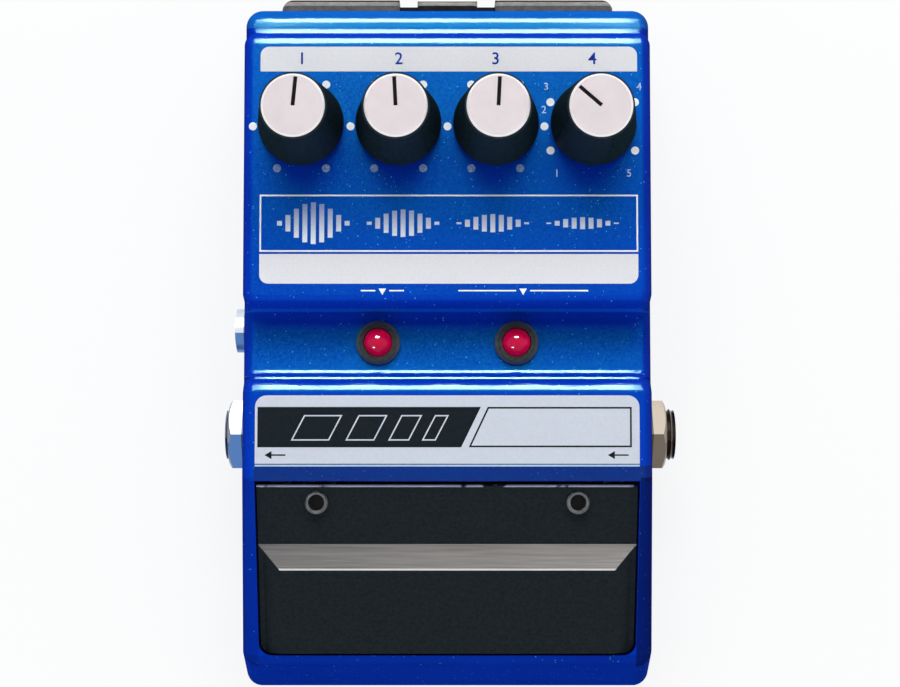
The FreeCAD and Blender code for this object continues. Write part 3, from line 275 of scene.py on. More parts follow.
lights = [
    soft_lamp("window_light", WINDOW, 0.62, 0.30, 5.8, (0.94, 0.98, 1.0)),
    soft_lamp("front_fill", (0.0, -0.85, 0.30), 0.6, 0.3, 1.8, (0.92, 0.96, 1.0)),
]
for side, tint in ((-1, (0.85, 0.93, 1.0)), (1, (1.0, 0.93, 0.82))):
    lights.append(soft_lamp(f"side_fill_{side}", (0.95 * side, -0.05, 0.35), 0.5, 0.4, 1.1, tint))
for lamp in lights:
    lamp.visible_glossy = False
bright_side = bpy.data.collections.new("sees_bright_pane")
dim_side = bpy.data.collections.new("sees_dim_pane")
lens_side = bpy.data.collections.new("sees_lens_lamps")
panes = [
    (soft_lamp("window_pane", NEAR_PANE, 0.60, 0.78, 235.0, CYAN_PANE), bright_side),
    (soft_lamp("dim_pane", NEXT_PANE, 0.61, 0.79, 2.55, WARM_PANE), dim_side),
    (soft_lamp("lens_window", LENS_WINDOW, 0.44, 0.30, 240.0, PLAIN_WHITE), lens_side),
    (soft_lamp("lens_point", LENS_POINT, 0.16, 0.16, 14.0, PLAIN_WHITE), lens_side),
]
for lamp, side in panes:
    lamp.visible_diffuse = False
    lamp.light_linking.receiver_collection = side
print(len(lights), "lamps for faces,", len(panes), "for reflections")

# %% [markdown]
# ## Finishes
# Each finish is a small node tree on Object coordinates, so a pattern stays fixed to its piece
# when the piece moves. A few helpers keep the trees short. One starts a material with its shader,
# one mixes two near colours by a noise, and one adds the same noise as bump, which every real
# surface has a little of. The others do sums with places, to make a mask where a colour changes.

# %% Helpers for materials


def srgb(red, green, blue):
    """A colour given as it looks on a screen, 0 to 255, as Blender's linear values."""
    def linear(value):
        value /= 255
        return value / 12.92 if value <= 0.04045 else ((value + 0.055) / 1.055) ** 2.4
    return (linear(red), linear(green), linear(blue), 1)


def start_material(name, roughness, metallic=0.0, **sockets):
    """A new material: its tree, its shader and the Object coordinates."""
    made = bpy.data.materials.new(name)
    made.use_nodes = True
    tree = made.node_tree
    shader = tree.nodes["Principled BSDF"]
    shader.inputs["Roughness"].default_value = roughness
    shader.inputs["Metallic"].default_value = metallic
    for socket, value in sockets.items():
        shader.inputs[socket.replace("_", " ")].default_value = value
    place = tree.nodes.new("ShaderNodeTexCoord").outputs["Object"]
    return made, tree, shader, place


def noise(tree, place, scale, detail=3.0):
    node = tree.nodes.new("ShaderNodeTexNoise")
    node.inputs["Scale"].default_value = scale
    node.inputs["Detail"].default_value = detail
    tree.links.new(place, node.inputs["Vector"])
    return node.outputs["Fac"]


def two_colours(tree, factor, low, high, start=0.35, end=0.65):
    """A ramp from one colour to another over a stretch of the factor."""
    ramp = tree.nodes.new("ShaderNodeValToRGB")
    ramp.color_ramp.elements[0].position = start
    ramp.color_ramp.elements[0].color = low
    ramp.color_ramp.elements[1].position = end
    ramp.color_ramp.elements[1].color = high
    tree.links.new(factor, ramp.inputs[0])
    return ramp.outputs[0]


def add_bump(tree, shader, height, strength, distance):
    bump = tree.nodes.new("ShaderNodeBump")
    bump.inputs["Strength"].default_value = strength
    bump.inputs["Distance"].default_value = distance
    tree.links.new(height, bump.inputs["Height"])
    tree.links.new(bump.outputs[0], shader.inputs["Normal"])


def plain_finish(name, dark, light, roughness, grain, metallic=0.0, bump=0.1, **sockets):
    """Two near colours in a fine noise, with the same noise as a shallow bump."""
    made, tree, shader, place = start_material(name, roughness, metallic, **sockets)
    speckle = noise(tree, place, grain)
    tree.links.new(two_colours(tree, speckle, dark, light), shader.inputs["Base Color"])
    add_bump(tree, shader, speckle, bump, 0.05 * MM)
    return made


def number(tree, kind, first, second=0.0):
    """A Math node over one or two values, each a socket or a plain number."""
    node = tree.nodes.new("ShaderNodeMath")
    node.operation = kind
    for socket, value in zip(node.inputs, (first, second)):
        if isinstance(value, (int, float)):
            socket.default_value = value
        else:
            tree.links.new(value, socket)
    return node.outputs[0]


def product(tree, first, *others):
    """Several factors multiplied, each a socket or a plain number."""
    for other in others:
        first = number(tree, "MULTIPLY", first, other)
    return first


def inside(tree, value, low, high):
    """One where low < value < high, and nothing elsewhere."""
    above = number(tree, "GREATER_THAN", value, low)
    return product(tree, above, number(tree, "LESS_THAN", value, high))


def squared_distance(tree, x, y, middle_x, middle_y):
    """How far a place is from an upright axis, squared."""
    across = number(tree, "SUBTRACT", x, middle_x)
    along = number(tree, "SUBTRACT", y, middle_y)
    return number(tree, "ADD", product(tree, across, across), product(tree, along, along))


def split_place(tree, place):
    """The three parts of a place, a direction or a colour."""
    split = tree.nodes.new("ShaderNodeSeparateXYZ")
    tree.links.new(place, split.inputs[0])
    return split.outputs


def blend(tree, factor, first, second):
    """The first colour, and the second where the factor is one; either may be a socket."""
    mix = tree.nodes.new("ShaderNodeMix")
    mix.data_type = "RGBA"
    tree.links.new(factor, mix.inputs["Factor"])
    for letter, colour in (("A", first), ("B", second)):
        if isinstance(colour, tuple):
            mix.inputs[letter].default_value = colour
        else:
            tree.links.new(colour, mix.inputs[letter])
    return mix.outputs["Result"]


def surface_way(tree):
    """The parts of the direction in which the surface looks, on the piece itself."""
    return split_place(tree, tree.nodes.new("ShaderNodeTexCoord").outputs["Normal"])


print("material helpers ready")

# %% [markdown]
# ### Pearl blue
# The case has a pearl lacquer: a deep violet-blue pigment with fine flakes in it, and a hard clear
# coat on top. One shader can hold all of it, so there is no second skin: the pigment is the base
# colour, the flakes tip the base normal, the pearl is the tint of the base gloss, and the clear coat
# keeps its white reflection. Two small helpers come first.

# %% Ramps of levels, and sums of vectors


def weights(tree, factor, stops):
    """A ramp of plain grey levels; stops are (position, level)."""
    ramp = tree.nodes.new("ShaderNodeValToRGB")
    marks = ramp.color_ramp.elements
    marks.remove(marks[1])
    marks[0].position = stops[0][0]
    marks[0].color = (stops[0][1], stops[0][1], stops[0][1], 1)
    for position, level in stops[1:]:
        marks.new(position).color = (level, level, level, 1)
    tree.links.new(factor, ramp.inputs[0])
    return ramp.outputs[0]


def vectors(tree, kind, *sources):
    """A Vector Math node over vector sockets."""
    node = tree.nodes.new("ShaderNodeVectorMath")
    node.operation = kind
    for socket, source in zip(node.inputs, sources):
        tree.links.new(source, socket)
    return node.outputs[0]


print("ramps and vectors ready")

# %% [markdown]
# The flakes are cells of a fine Voronoi pattern, because each cell has a random colour of its own.
# One part of that colour shifts the blue a little from flake to flake, another paints about one
# flake in 260 as a bright glint in the base colour, and all three together tip the flake's normal.

# %% Flakes in the pigment
FLAKE_DENSITY = 5200
FLAKE_TILT = 0.11
BRIGHT_FLAKES = 0.9962
DEEP_BLUE = (srgb(5, 45, 170), srgb(8, 54, 182))
FLAKE_BLUE = srgb(6, 62, 200)
PAINTED_GLINT_BLUE = srgb(80, 150, 222)


def flake_cells(tree, place):
    flakes = tree.nodes.new("ShaderNodeTexVoronoi")
    flakes.inputs["Scale"].default_value = FLAKE_DENSITY
    tree.links.new(place, flakes.inputs["Vector"])
    return flakes.outputs["Color"]


def pigment(tree, place, flakes):
    """Deep blue in soft clouds, with the flakes' own blues and a few painted glints in it."""
    cell = split_place(tree, flakes)
    cloud = noise(tree, place, 55, 2.0)
    deep_blue = two_colours(tree, cloud, *DEEP_BLUE, 0.3, 0.7)
    flaked = blend(tree, product(tree, cell[0], 0.5), deep_blue, FLAKE_BLUE)
    return blend(tree, number(tree, "GREATER_THAN", cell[2], BRIGHT_FLAKES), flaked, PAINTED_GLINT_BLUE)


def flake_tips(tree, flakes):
    """What each flake adds to the normal: its colour, moved to lie about zero."""
    tips = tree.nodes.new("ShaderNodeVectorMath")
    tips.operation = "MULTIPLY_ADD"
    tree.links.new(flakes, tips.inputs[0])
    tips.inputs[1].default_value = (FLAKE_TILT,) * 3
    tips.inputs[2].default_value = (-FLAKE_TILT / 2,) * 3
    return tips.outputs[0]


print("one flake in", round(1 / (1 - BRIGHT_FLAKES)), "is a glint")

# %% [markdown]
# Some stretches of the case are paler or deeper than the panel, as light and shade painted into the
# colour. The rear ledge and the foot of the panel's front edge get painted light from the window. The
# strip before the treadle, the rails beside it, the front and the two side walls get painted shade,
# and the well under the treadle is painted black as shade.
# Each stretch is a mask worked out from the place. The way that a face looks counts too, so that the
# tint of a top face fades out over its rounded edge and doesn't run down the wall.

# %% Places of the painted light and shade
WELL_HALF = 33.36 * MM
WELL_FRONT = -55.5 * MM
WELL_REAR = -24.55 * MM
WELL_LIT = 22.8 * MM
SLOT_HALF = 32.5 * MM
SLOT_FRONT = -30 * MM
SLOT_REAR = -24.52 * MM
SLOT_LIT = 31.5 * MM
STRIP_REAR = -21.9 * MM
STRIP_FRONT = -24.6 * MM
STRIP_RIGHT = 36.3 * MM
RAIL_REAR = -24 * MM
FRONT_LIP = -55.4 * MM
LEDGE_FRONT = 55.75 * MM
FOOT_FRONT = 4.93 * MM
FOOT_REAR = 5.25 * MM
print("the well is", round(2 * WELL_HALF / MM, 1), "mm wide")

# %% Painted light and shade on the lacquer
TOP_FADE = ((0.25, 0.0), (0.6, 1.0))
RIGHT_FADE = ((0.1, 0.0), (0.9, 0.55))
LEFT_FADE = ((0.45, 0.0), (1.0, 0.5))
# Colours of painted light on the ledge and the foot, and of painted shade elsewhere.
LEDGE_PAINTED_LIGHT = srgb(24, 134, 200)
FOOT_PAINTED_HIGHLIGHT = srgb(22, 104, 214)
STRIP_PAINTED_SHADE = srgb(26, 36, 100)
SIDE_PAINTED_SHADE = srgb(26, 32, 84)
RAIL_PAINTED_SHADE = srgb(9, 14, 62)
FRONT_PAINTED_SHADE = srgb(8, 28, 96)
WELL_PAINTED_SHADE = srgb(6, 7, 10)


def box_mask(tree, x, y, across, along):
    """One over a rectangle of the plan, from its two sides and its front and rear."""
    return product(tree, inside(tree, x, *across), inside(tree, y, *along))


def shaded_sides(tree, sideways):
    """Painted shade, more on the right wall than on the left one, by how far a face turns to its side.
    """
    to_right = weights(tree, sideways, RIGHT_FADE)
    to_left = weights(tree, product(tree, sideways, -1.0), LEFT_FADE)
    return number(tree, "MAXIMUM", to_right, to_left)


# Painted shade on the rails beside the treadle, deeper on the right one.
def shaded_rails(tree, x, y, topmost):
    left_rail = product(tree, number(tree, "LESS_THAN", x, -WELL_HALF), 0.3)
    right_rail = product(tree, number(tree, "GREATER_THAN", x, WELL_HALF), 0.75)
    either = number(tree, "ADD", left_rail, right_rail)
    return product(tree, either, topmost, number(tree, "LESS_THAN", y, RAIL_REAR))


def deep_well(tree, x, y, z):
    """The well below the treadle's top, and the slot behind the treadle, where painted shade goes."""
    well = box_mask(tree, x, y, (-WELL_HALF, WELL_HALF), (WELL_FRONT, WELL_REAR))
    low_down = product(tree, well, number(tree, "LESS_THAN", z, WELL_LIT))
    slot = box_mask(tree, x, y, (-SLOT_HALF, SLOT_HALF), (SLOT_FRONT, SLOT_REAR))
    in_slot = product(tree, slot, number(tree, "LESS_THAN", z, SLOT_LIT))
    return number(tree, "MAXIMUM", low_down, in_slot)


def shade(tree, colour, place):
    """The pigment's colour, with painted light and shade laid on stretch by stretch."""
    x, y, z = split_place(tree, place)
    sideways, forward, upward = surface_way(tree)
    topmost = weights(tree, upward, TOP_FADE)
    ledge = product(tree, number(tree, "GREATER_THAN", y, LEDGE_FRONT), topmost, 0.4)
    foot = product(tree, inside(tree, y, FOOT_FRONT, FOOT_REAR), 0.45)
    strip = box_mask(tree, x, y, (-WELL_HALF, STRIP_RIGHT), (STRIP_FRONT, STRIP_REAR))
    ahead = number(tree, "LESS_THAN", number(tree, "ABSOLUTE", sideways), 0.6)
    # Painted light on the ledge and the foot; painted shade on the strip, walls, rails, front and well.
    tints = [
        (ledge, LEDGE_PAINTED_LIGHT),
        (foot, FOOT_PAINTED_HIGHLIGHT),
        (product(tree, strip, topmost, 0.75), STRIP_PAINTED_SHADE),
        (shaded_sides(tree, sideways), SIDE_PAINTED_SHADE),
        (shaded_rails(tree, x, y, topmost), RAIL_PAINTED_SHADE),
        (product(tree, ahead, number(tree, "LESS_THAN", y, FRONT_LIP), 0.35), FRONT_PAINTED_SHADE),
        (deep_well(tree, x, y, z), WELL_PAINTED_SHADE),
    ]
    for mask, tint in tints:
        colour = blend(tree, mask, colour, tint)
    return colour


print("shades ready")

# %% [markdown]
# The cast edges of the case are softer than the frame's, and the window draws a bright line wherever
# they turn toward it. The solids can't be moved, so two profiles add the missing lean to the surface
# normal along Y. One covers the ramp behind the name plate with the faint step half-way up it, the
# lamp valley and the panel's front edge. The other covers the rear edges of the panel and of the
# ledge. Each pair is a place in millimetres and a lean, where 1 would be 45 degrees.

# %% Leans of the cast edges
RAMP_LEANS = [
    (-9.6, 0.0), (-9.4, 0.0), (-9.1, 0.07), (-8.75, 0.14), (-8.55, 0.22), (-8.35, 0.2), (-8.1, 0.0),
    (-7.95, 0.0), (-7.75, -0.2), (-7.6, 0.0), (-6.95, 0.0), (-6.88, -0.81), (-6.5, -0.81),
    (-6.43, 0.0), (-5.95, 0.0), (-5.8, -0.15), (-5.6, 0.0), (-5.35, 0.2), (-5.1, 0.11),
    (-1.0, 0.055), (3.0, 0.015), (4.5, 0.0), (6.2, 0.0), (6.35, 0.2), (6.58, 0.32), (6.75, 0.24),
    (7.0, 0.08), (7.3, 0.0),
]
REAR_LEANS = [
    (50.6, 0.0), (50.78, 0.03), (50.92, 0.06), (51.09, 0.15), (51.27, 0.19), (51.45, 0.105),
    (51.63, 0.1), (51.82, 0.19), (52.02, 0.03), (52.23, -0.1), (52.45, 0.0), (54.3, 0.0),
    (54.73, -0.36), (54.95, -0.17), (55.16, -0.17), (55.35, -0.15), (55.54, -0.1), (55.73, -0.04),
    (56.0, 0.02), (56.63, 0.02), (56.8, 0.06), (56.95, 0.22), (57.2, 0.28), (57.35, 0.38),
    (57.5, 0.46), (57.72, 0.38), (57.95, 0.4), (60.0, 0.4),
]
UPWARD_FADE = ((0.05, 0.0), (0.2, 1.0))


def lean_along(tree, y, leans):
    """The lean at a place along the case, read from one profile."""
    first = leans[0][0] * MM
    length = leans[-1][0] * MM - first
    factor = product(tree, number(tree, "SUBTRACT", y, first), 1 / length)
    stops = [((at * MM - first) / length, (lean + 1) / 2) for at, lean in leans]
    return number(tree, "SUBTRACT", product(tree, weights(tree, factor, stops), 2.0), 1.0)


def leaned_normal(tree, y):
    """The surface normal with the leans added, on faces that look up at least a little."""
    leans = number(tree, "ADD", lean_along(tree, y, RAMP_LEANS), lean_along(tree, y, REAR_LEANS))
    upward = weights(tree, surface_way(tree)[2], UPWARD_FADE)
    lean = tree.nodes.new("ShaderNodeCombineXYZ")
    tree.links.new(product(tree, leans, upward), lean.inputs["Y"])
    flat = tree.nodes.new("ShaderNodeNewGeometry").outputs["Normal"]
    return vectors(tree, "NORMALIZE", vectors(tree, "ADD", flat, lean.outputs[0]))


print(len(RAMP_LEANS) + len(REAR_LEANS), "stops lean the cast edges")

# %% [markdown]
# The clear coat shines only along the ramp and the rear edges, and fades at their outer ends, where
# the real case curves down. It also fades on faces that are turned far away from the eye, and on
# faces seen straight on. Layer Weight gives that turn. The pearl's own faint gloss is taken off the
# far turned faces too, so that the walls keep their deep blue and show no white haze of the room.

# %% Gloss of the lacquer
CASE_HALF = 37.0 * MM
GLOSS_REAR = -5.0 * MM
PEARL_LEVELS = ((0.0, 0.03), (0.055, 0.03), (0.1, 0.01), (0.3, 0.008), (0.45, 0.0))
COAT_LEVELS = ((0.0, 0.0), (0.035, 0.02), (0.055, 1.0), (0.2, 1.0), (0.3, 0.0))
COAT_ACROSS = ((0.0, 1.0), (0.84, 1.0), (0.9, 0.35), (0.95, 0.06), (1.0, 0.0))


def turn_from_eye(tree, normal=None):
    """Nothing where a face is seen straight on, one where it is seen edge-on."""
    facing = tree.nodes.new("ShaderNodeLayerWeight")
    facing.inputs["Blend"].default_value = 0.5
    if normal is not None:
        tree.links.new(normal, facing.inputs["Normal"])
    return facing.outputs["Facing"]


def coat_places(tree, x, y):
    """Where the coat shines: along the leaned edges, less toward both ends."""
    outward = product(tree, number(tree, "ABSOLUTE", x), 1 / CASE_HALF)
    across = weights(tree, outward, COAT_ACROSS)
    on_ramp = inside(tree, y, RAMP_LEANS[0][0] * MM, GLOSS_REAR)
    at_rear = inside(tree, y, REAR_LEANS[0][0] * MM, REAR_LEANS[-1][0] * MM)
    return product(tree, across, number(tree, "MAXIMUM", on_ramp, at_rear))


print("the coat ends", round(CASE_HALF / MM, 1), "mm from the middle")

# %% Pearl blue lacquer


def pearl_blue():
    made, tree, shader, place = start_material(
        "pearl_blue", 0.34, Specular_IOR_Level=0.03, Specular_Tint=(0.02, 0.74, 0.66, 1),
        Coat_Roughness=0.09, Coat_IOR=1.18,
    )
    x, y, z = split_place(tree, place)
    flakes = flake_cells(tree, place)
    colour = shade(tree, pigment(tree, place, flakes), place)
    tree.links.new(colour, shader.inputs["Base Color"])
    leaned = leaned_normal(tree, y)
    tree.links.new(leaned, shader.inputs["Coat Normal"])
    tree.links.new(vectors(tree, "ADD", leaned, flake_tips(tree, flakes)), shader.inputs["Normal"])
    turned = turn_from_eye(tree, leaned)
    tree.links.new(weights(tree, turned, PEARL_LEVELS), shader.inputs["Specular IOR Level"])
    shining = product(tree, coat_places(tree, x, y), weights(tree, turned, COAT_LEVELS))
    tree.links.new(shining, shader.inputs["Coat Weight"])
    return made


def dress(material, *names):
    """Puts a material in every slot of the named CAD nodes."""
    for name in names:
        slots = nodes[name].material_slots
        for slot in slots:
            slot.material = material
        if not slots:
            nodes[name].data.materials.append(material)


lacquer = pearl_blue()
dress(lacquer, "die_cast_housing")
print("the case is blue, with", len(lacquer.node_tree.nodes), "nodes in its finish")

# %% [markdown]
# ### The treadle
# The treadle is a near-black textured lacquer. The sloping face behind the raised foot pad faces the
# window and carries a painted reflection of it: a satin grey band with mitred ends and fine streaks
# across, darker at the left end than at the right. The band is a mask worked out from the place on
# the treadle: between two lines in Y, and narrower toward the front. A thin line along the crest in
# front of it, and patches along the rear edge, are brighter.

# %% Dark treadle with the painted reflection on its slope
BAND_REAR = -35.6 * MM
BAND_FRONT = -40.02 * MM
BAND_HALF_REAR = 33.1 * MM
BAND_HALF_FRONT = 29.35 * MM
CREST_LINE = 0.16 * MM
BRIGHT_EDGE_START = -25.62 * MM
STREAK_STRETCH = (0.03, 1, 1)
LEFT_BAND_REFLECTION = (srgb(112, 109, 108), srgb(134, 130, 127))
RIGHT_BAND_REFLECTION = (srgb(142, 136, 132), srgb(166, 159, 154))
BRIGHT_EDGE_COLOUR = srgb(198, 202, 210)
CREST_BRIGHT_COLOUR = srgb(222, 218, 214)


def rubbed_satin(tree, place, x):
    """A painted reflection streaked like brushed metal, darker at the left end than at the right."""
    stretch = tree.nodes.new("ShaderNodeMapping")
    stretch.inputs["Scale"].default_value = STREAK_STRETCH
    tree.links.new(place, stretch.inputs["Vector"])
    streaks = noise(tree, stretch.outputs[0], 2600, 3.0)
    left_end = two_colours(tree, streaks, *LEFT_BAND_REFLECTION, 0.3, 0.7)
    right_end = two_colours(tree, streaks, *RIGHT_BAND_REFLECTION, 0.3, 0.7)
    across = number(tree, "ADD", product(tree, x, 0.5 / BAND_HALF_REAR), 0.5)
    return blend(tree, across, left_end, right_end)


def treadle_finish():
    made, tree, shader, place = start_material("dark_treadle", 0.42, Specular_IOR_Level=0.04)
    x, y = split_place(tree, place)[:2]
    taper = (BAND_HALF_REAR - BAND_HALF_FRONT) / (BAND_REAR - BAND_FRONT)
    mitre = number(tree, "ADD", product(tree, y, taper), BAND_HALF_REAR - BAND_REAR * taper)
    within = number(tree, "LESS_THAN", number(tree, "ABSOLUTE", x), mitre)
    band = product(tree, inside(tree, y, BAND_FRONT, BAND_REAR), within)
    crest_line = inside(tree, y, BAND_FRONT - CREST_LINE, BAND_FRONT + CREST_LINE)
    crest = product(tree, crest_line, within)

    grain = noise(tree, place, 1800, 4.0)
    dark = two_colours(tree, grain, srgb(25, 31, 34), srgb(32, 39, 42))
    # The band is a painted reflection of the window.
    dressed = blend(tree, band, dark, rubbed_satin(tree, place, x))
    patches = weights(tree, noise(tree, place, 260, 3.0), ((0.38, 0.0), (0.46, 1.0)))
    brightened = product(tree, number(tree, "GREATER_THAN", y, BRIGHT_EDGE_START), patches)
    dressed = blend(tree, brightened, dressed, BRIGHT_EDGE_COLOUR)
    tree.links.new(blend(tree, crest, dressed, CREST_BRIGHT_COLOUR), shader.inputs["Base Color"])
    add_bump(tree, shader, grain, 0.12, 0.03 * MM)
    return made


dress(treadle_finish(), "treadle")
print("the satin band is", round((BAND_REAR - BAND_FRONT) / MM, 1), "mm deep")

# %% [markdown]
# ### Pieces inside and below
# The pieces in and under the case need only a colour range, a gloss and a grain each, so one helper
# makes all of their finishes. They show from below, or when the case is taken apart.

# %% Finishes inside and below
black_plastic = plain_finish(
    "satin_black", srgb(14, 16, 18), srgb(24, 27, 30), 0.38, 1500, 0.0, 0.12, Specular_IOR_Level=0.12
)
zinc = plain_finish("zinc_sheet", srgb(150, 152, 155), srgb(182, 184, 187), 0.45, 220, 0.9, 0.15)
dark_screw = plain_finish("blackened_screw", srgb(70, 70, 72), srgb(104, 104, 106), 0.35, 800, 0.9, 0.1)
spring_wire = plain_finish("spring_wire", srgb(150, 150, 152), srgb(190, 190, 192), 0.3, 700, 1.0, 0.05)
board_green = plain_finish("board_green", srgb(14, 84, 44), srgb(22, 106, 58), 0.45, 400)
button_red = plain_finish("button_red", srgb(150, 22, 18), srgb(176, 34, 26), 0.4, 900)
can_grey = plain_finish("control_can", srgb(150, 150, 148), srgb(180, 180, 178), 0.35, 500, 0.9)
battery_wrap = plain_finish("battery_wrap", srgb(60, 64, 70), srgb(84, 88, 94), 0.35, 300, 0.5)
red_vinyl = plain_finish("red_vinyl", srgb(150, 16, 16), srgb(176, 26, 24), 0.5, 600)
tinned = plain_finish("tinned_wire", srgb(186, 186, 182), srgb(214, 214, 210), 0.3, 900, 1.0)

dress(black_plastic, "footswitch_body", "input_socket_body", "output_socket_body")
dress(black_plastic, "power_socket_body", "board_link", "battery_snap", "chips", "capacitors")
dress(zinc, "bottom_plate")
dress(dark_screw, "bottom_screws")
dress(spring_wire, "treadle_springs", "plunger_spring_left", "plunger_spring_right")
dress(board_green, "main_board", "dial_board", "footswitch_board")
dress(button_red, "footswitch_plunger")
dress(can_grey, "dial_body_1", "dial_body_2", "dial_body_3", "selector_switch_body")
dress(can_grey, "dial_1_shaft", "dial_2_shaft", "dial_3_shaft", "selector_shaft")
dress(battery_wrap, "battery")
dress(red_vinyl, "battery_leads")
dress(tinned, "socket_pins", "lamp_legs")
print("ten plain finishes on")

# %% [markdown]
# ### Knobs
# The knobs are black plastic with a faint green-blue bloom. Their tapered walls are seen nearly
# edge-on from above, where even a satin black would mirror the pale room. So the gloss is taken off
# by how far the wall is turned from the eye.

# %% Knob plastic
KNOB_GLOSS = ((0.0, 0.12), (0.4, 0.12), (0.75, 0.0))


def knob_finish():
    made, tree, shader, place = start_material("knob_plastic", 0.4, Specular_IOR_Level=0.12)
    speckle = noise(tree, place, 1500)
    bloom = two_colours(tree, speckle, srgb(20, 33, 40), srgb(29, 43, 51))
    tree.links.new(bloom, shader.inputs["Base Color"])
    gloss = weights(tree, turn_from_eye(tree), KNOB_GLOSS)
    tree.links.new(gloss, shader.inputs["Specular IOR Level"])
    add_bump(tree, shader, speckle, 0.12, 0.05 * MM)
    return made


dress(knob_finish(), *[f"{name}_knob" for name in DIALS])
print(len(DIALS), "black knobs")

# %% [markdown]
# ### Bezels
# The bezels of the lamps are grey moulded rings whose sloping outer faces are painted paler, as
# painted light. A face that doesn't look straight up is such a slope, so the way it looks is mask
# enough.

# %% Bezels
FLAT_TOP = 0.9


def bezel_finish():
    made, tree, shader, place = start_material("bezel_grey", 0.6, Specular_IOR_Level=0.04)
    speckle = noise(tree, place, 1200)
    level = two_colours(tree, speckle, srgb(58, 64, 62), srgb(70, 76, 73))
    brightened = two_colours(tree, speckle, srgb(92, 96, 88), srgb(106, 110, 101))
    # Painted light on the sloping faces.
    sloping = number(tree, "LESS_THAN", surface_way(tree)[2], FLAT_TOP)
    tree.links.new(blend(tree, sloping, level, brightened), shader.inputs["Base Color"])
    add_bump(tree, shader, speckle, 0.15, 0.05 * MM)
    return made


dress(bezel_finish(), "lamp_bezel_left", "lamp_bezel_right")
print("bezels on")

# %% [markdown]
# ### Nickel
# The nickel of the sockets is darker toward the floor, as painted shade. A painted reflection of
# daylight makes it bluish on the left, and one of the room's light makes it warm on the right, with
# painted shade on the faces that look to the front. Polished metal would mirror a whole room for
# this; a colour for each side, from the place alone, gives the same look in any light. The thin end
# faces, and the strip beside the case, get a dark painted reflection of the case.

# %% Nickel
NICKEL_LOW = 9 * MM
NICKEL_HIGH = 21 * MM
NUT_SEAT = 36.95 * MM
WARM_REFLECTED_NICKEL = (srgb(84, 72, 60), srgb(146, 137, 126))
COOL_REFLECTED_NICKEL = (srgb(96, 128, 178), srgb(222, 232, 242))
COOL_PAINTED_SHADE = srgb(88, 126, 186)
WARM_PAINTED_SHADE = srgb(84, 70, 58)
CASE_REFLECTION_DARK = srgb(34, 34, 40)


def sided_nickel(tree, x, level, forward):
    """Painted reflections, cool on the left and warm on the right; painted shade on front faces."""
    fronting = number(tree, "LESS_THAN", forward, -0.15)
    cool = two_colours(tree, level, *COOL_REFLECTED_NICKEL, 0.1, 0.9)
    warm = two_colours(tree, level, *WARM_REFLECTED_NICKEL, 0.1, 1.0)
    bluer = blend(tree, fronting, cool, COOL_PAINTED_SHADE)
    browner = blend(tree, product(tree, fronting, 0.6), warm, WARM_PAINTED_SHADE)
    return blend(tree, number(tree, "GREATER_THAN", x, 0.0), bluer, browner)


def nickel_plate():
    made, tree, shader, place = start_material("nickel_plate", 0.2, 1.0)
    x, y, z = split_place(tree, place)
    sideways, forward = surface_way(tree)[:2]
    speckle = noise(tree, place, 1600)
    # Painted shade toward the floor: the level rises with height.
    above = number(tree, "SUBTRACT", z, NICKEL_LOW)
    height = product(tree, above, 1 / (NICKEL_HIGH - NICKEL_LOW))
    level = number(tree, "ADD", height, product(tree, speckle, 0.25))
    # A dark painted reflection of the case on the end faces and beside the case.
    by_case = number(tree, "LESS_THAN", number(tree, "ABSOLUTE", x), NUT_SEAT)
    endward = number(tree, "LESS_THAN", sideways, -0.4)
    case_reflection = product(tree, number(tree, "MAXIMUM", by_case, endward), 0.75)
    reflected = sided_nickel(tree, x, level, forward)
    tree.links.new(blend(tree, case_reflection, reflected, CASE_REFLECTION_DARK), shader.inputs["Base Color"])
    add_bump(tree, shader, speckle, 0.08, 0.03 * MM)
    return made


nickel = nickel_plate()
dress(nickel, "dial_nuts", "power_socket_bushing", "power_socket_nut")
print("nickel brightens from", NICKEL_LOW / MM, "to", NICKEL_HIGH / MM, "mm up")

# %% [markdown]
# ### Rubber
# The sole is black rubber. On the rear bumpers a painted reflection lies in a long pale stripe
# along the rounded rear edge, the outermost edge behind it has painted shade, and painted light
# makes the top grey; the tab between them is pale only along its rear edge. These are stripes by
# the distance from the rear edge, on the little that stands up behind the case.

# %% Rubber
TAB_HALF = 6.4 * MM
STRIPE_REAR = 0.5 * MM
STRIPE_FRONT = 1.2 * MM
BUMPER_TOP = 1.2 * MM
PLAIN_RUBBER = (srgb(20, 21, 22), srgb(32, 33, 34))
LIT_TOP_RUBBER = (srgb(88, 85, 80), srgb(104, 101, 96))
SHEEN_STRIPE_RUBBER = (srgb(150, 145, 134), srgb(166, 161, 150))
SHADED_EDGE_RUBBER = srgb(52, 48, 42)
sole_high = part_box("rubber_sole")[1]


def rubber_finish():
    made, tree, shader, place = start_material("black_rubber", 0.55, Specular_IOR_Level=0.08)
    x, y, z = split_place(tree, place)
    grain = noise(tree, place, 900)
    plain = two_colours(tree, grain, *PLAIN_RUBBER)
    lit_top = two_colours(tree, grain, *LIT_TOP_RUBBER)
    sheen_stripe = two_colours(tree, grain, *SHEEN_STRIPE_RUBBER)
    from_rear = number(tree, "SUBTRACT", sole_high.y, y)
    # Painted light on the bumper tops, a painted reflection in the stripe, painted shade behind it.
    top = blend(tree, inside(tree, x, -TAB_HALF, TAB_HALF), lit_top, plain)
    top = blend(tree, inside(tree, from_rear, STRIPE_REAR, STRIPE_FRONT), top, sheen_stripe)
    top = blend(tree, number(tree, "LESS_THAN", from_rear, STRIPE_REAR), top, SHADED_EDGE_RUBBER)
    behind = number(tree, "GREATER_THAN", y, case_high.y)
    high_up = number(tree, "GREATER_THAN", z, sole_high.z - BUMPER_TOP)
    bumper = product(tree, behind, high_up)
    tree.links.new(blend(tree, bumper, plain, top), shader.inputs["Base Color"])
    add_bump(tree, shader, grain, 0.2, 0.05 * MM)
    return made


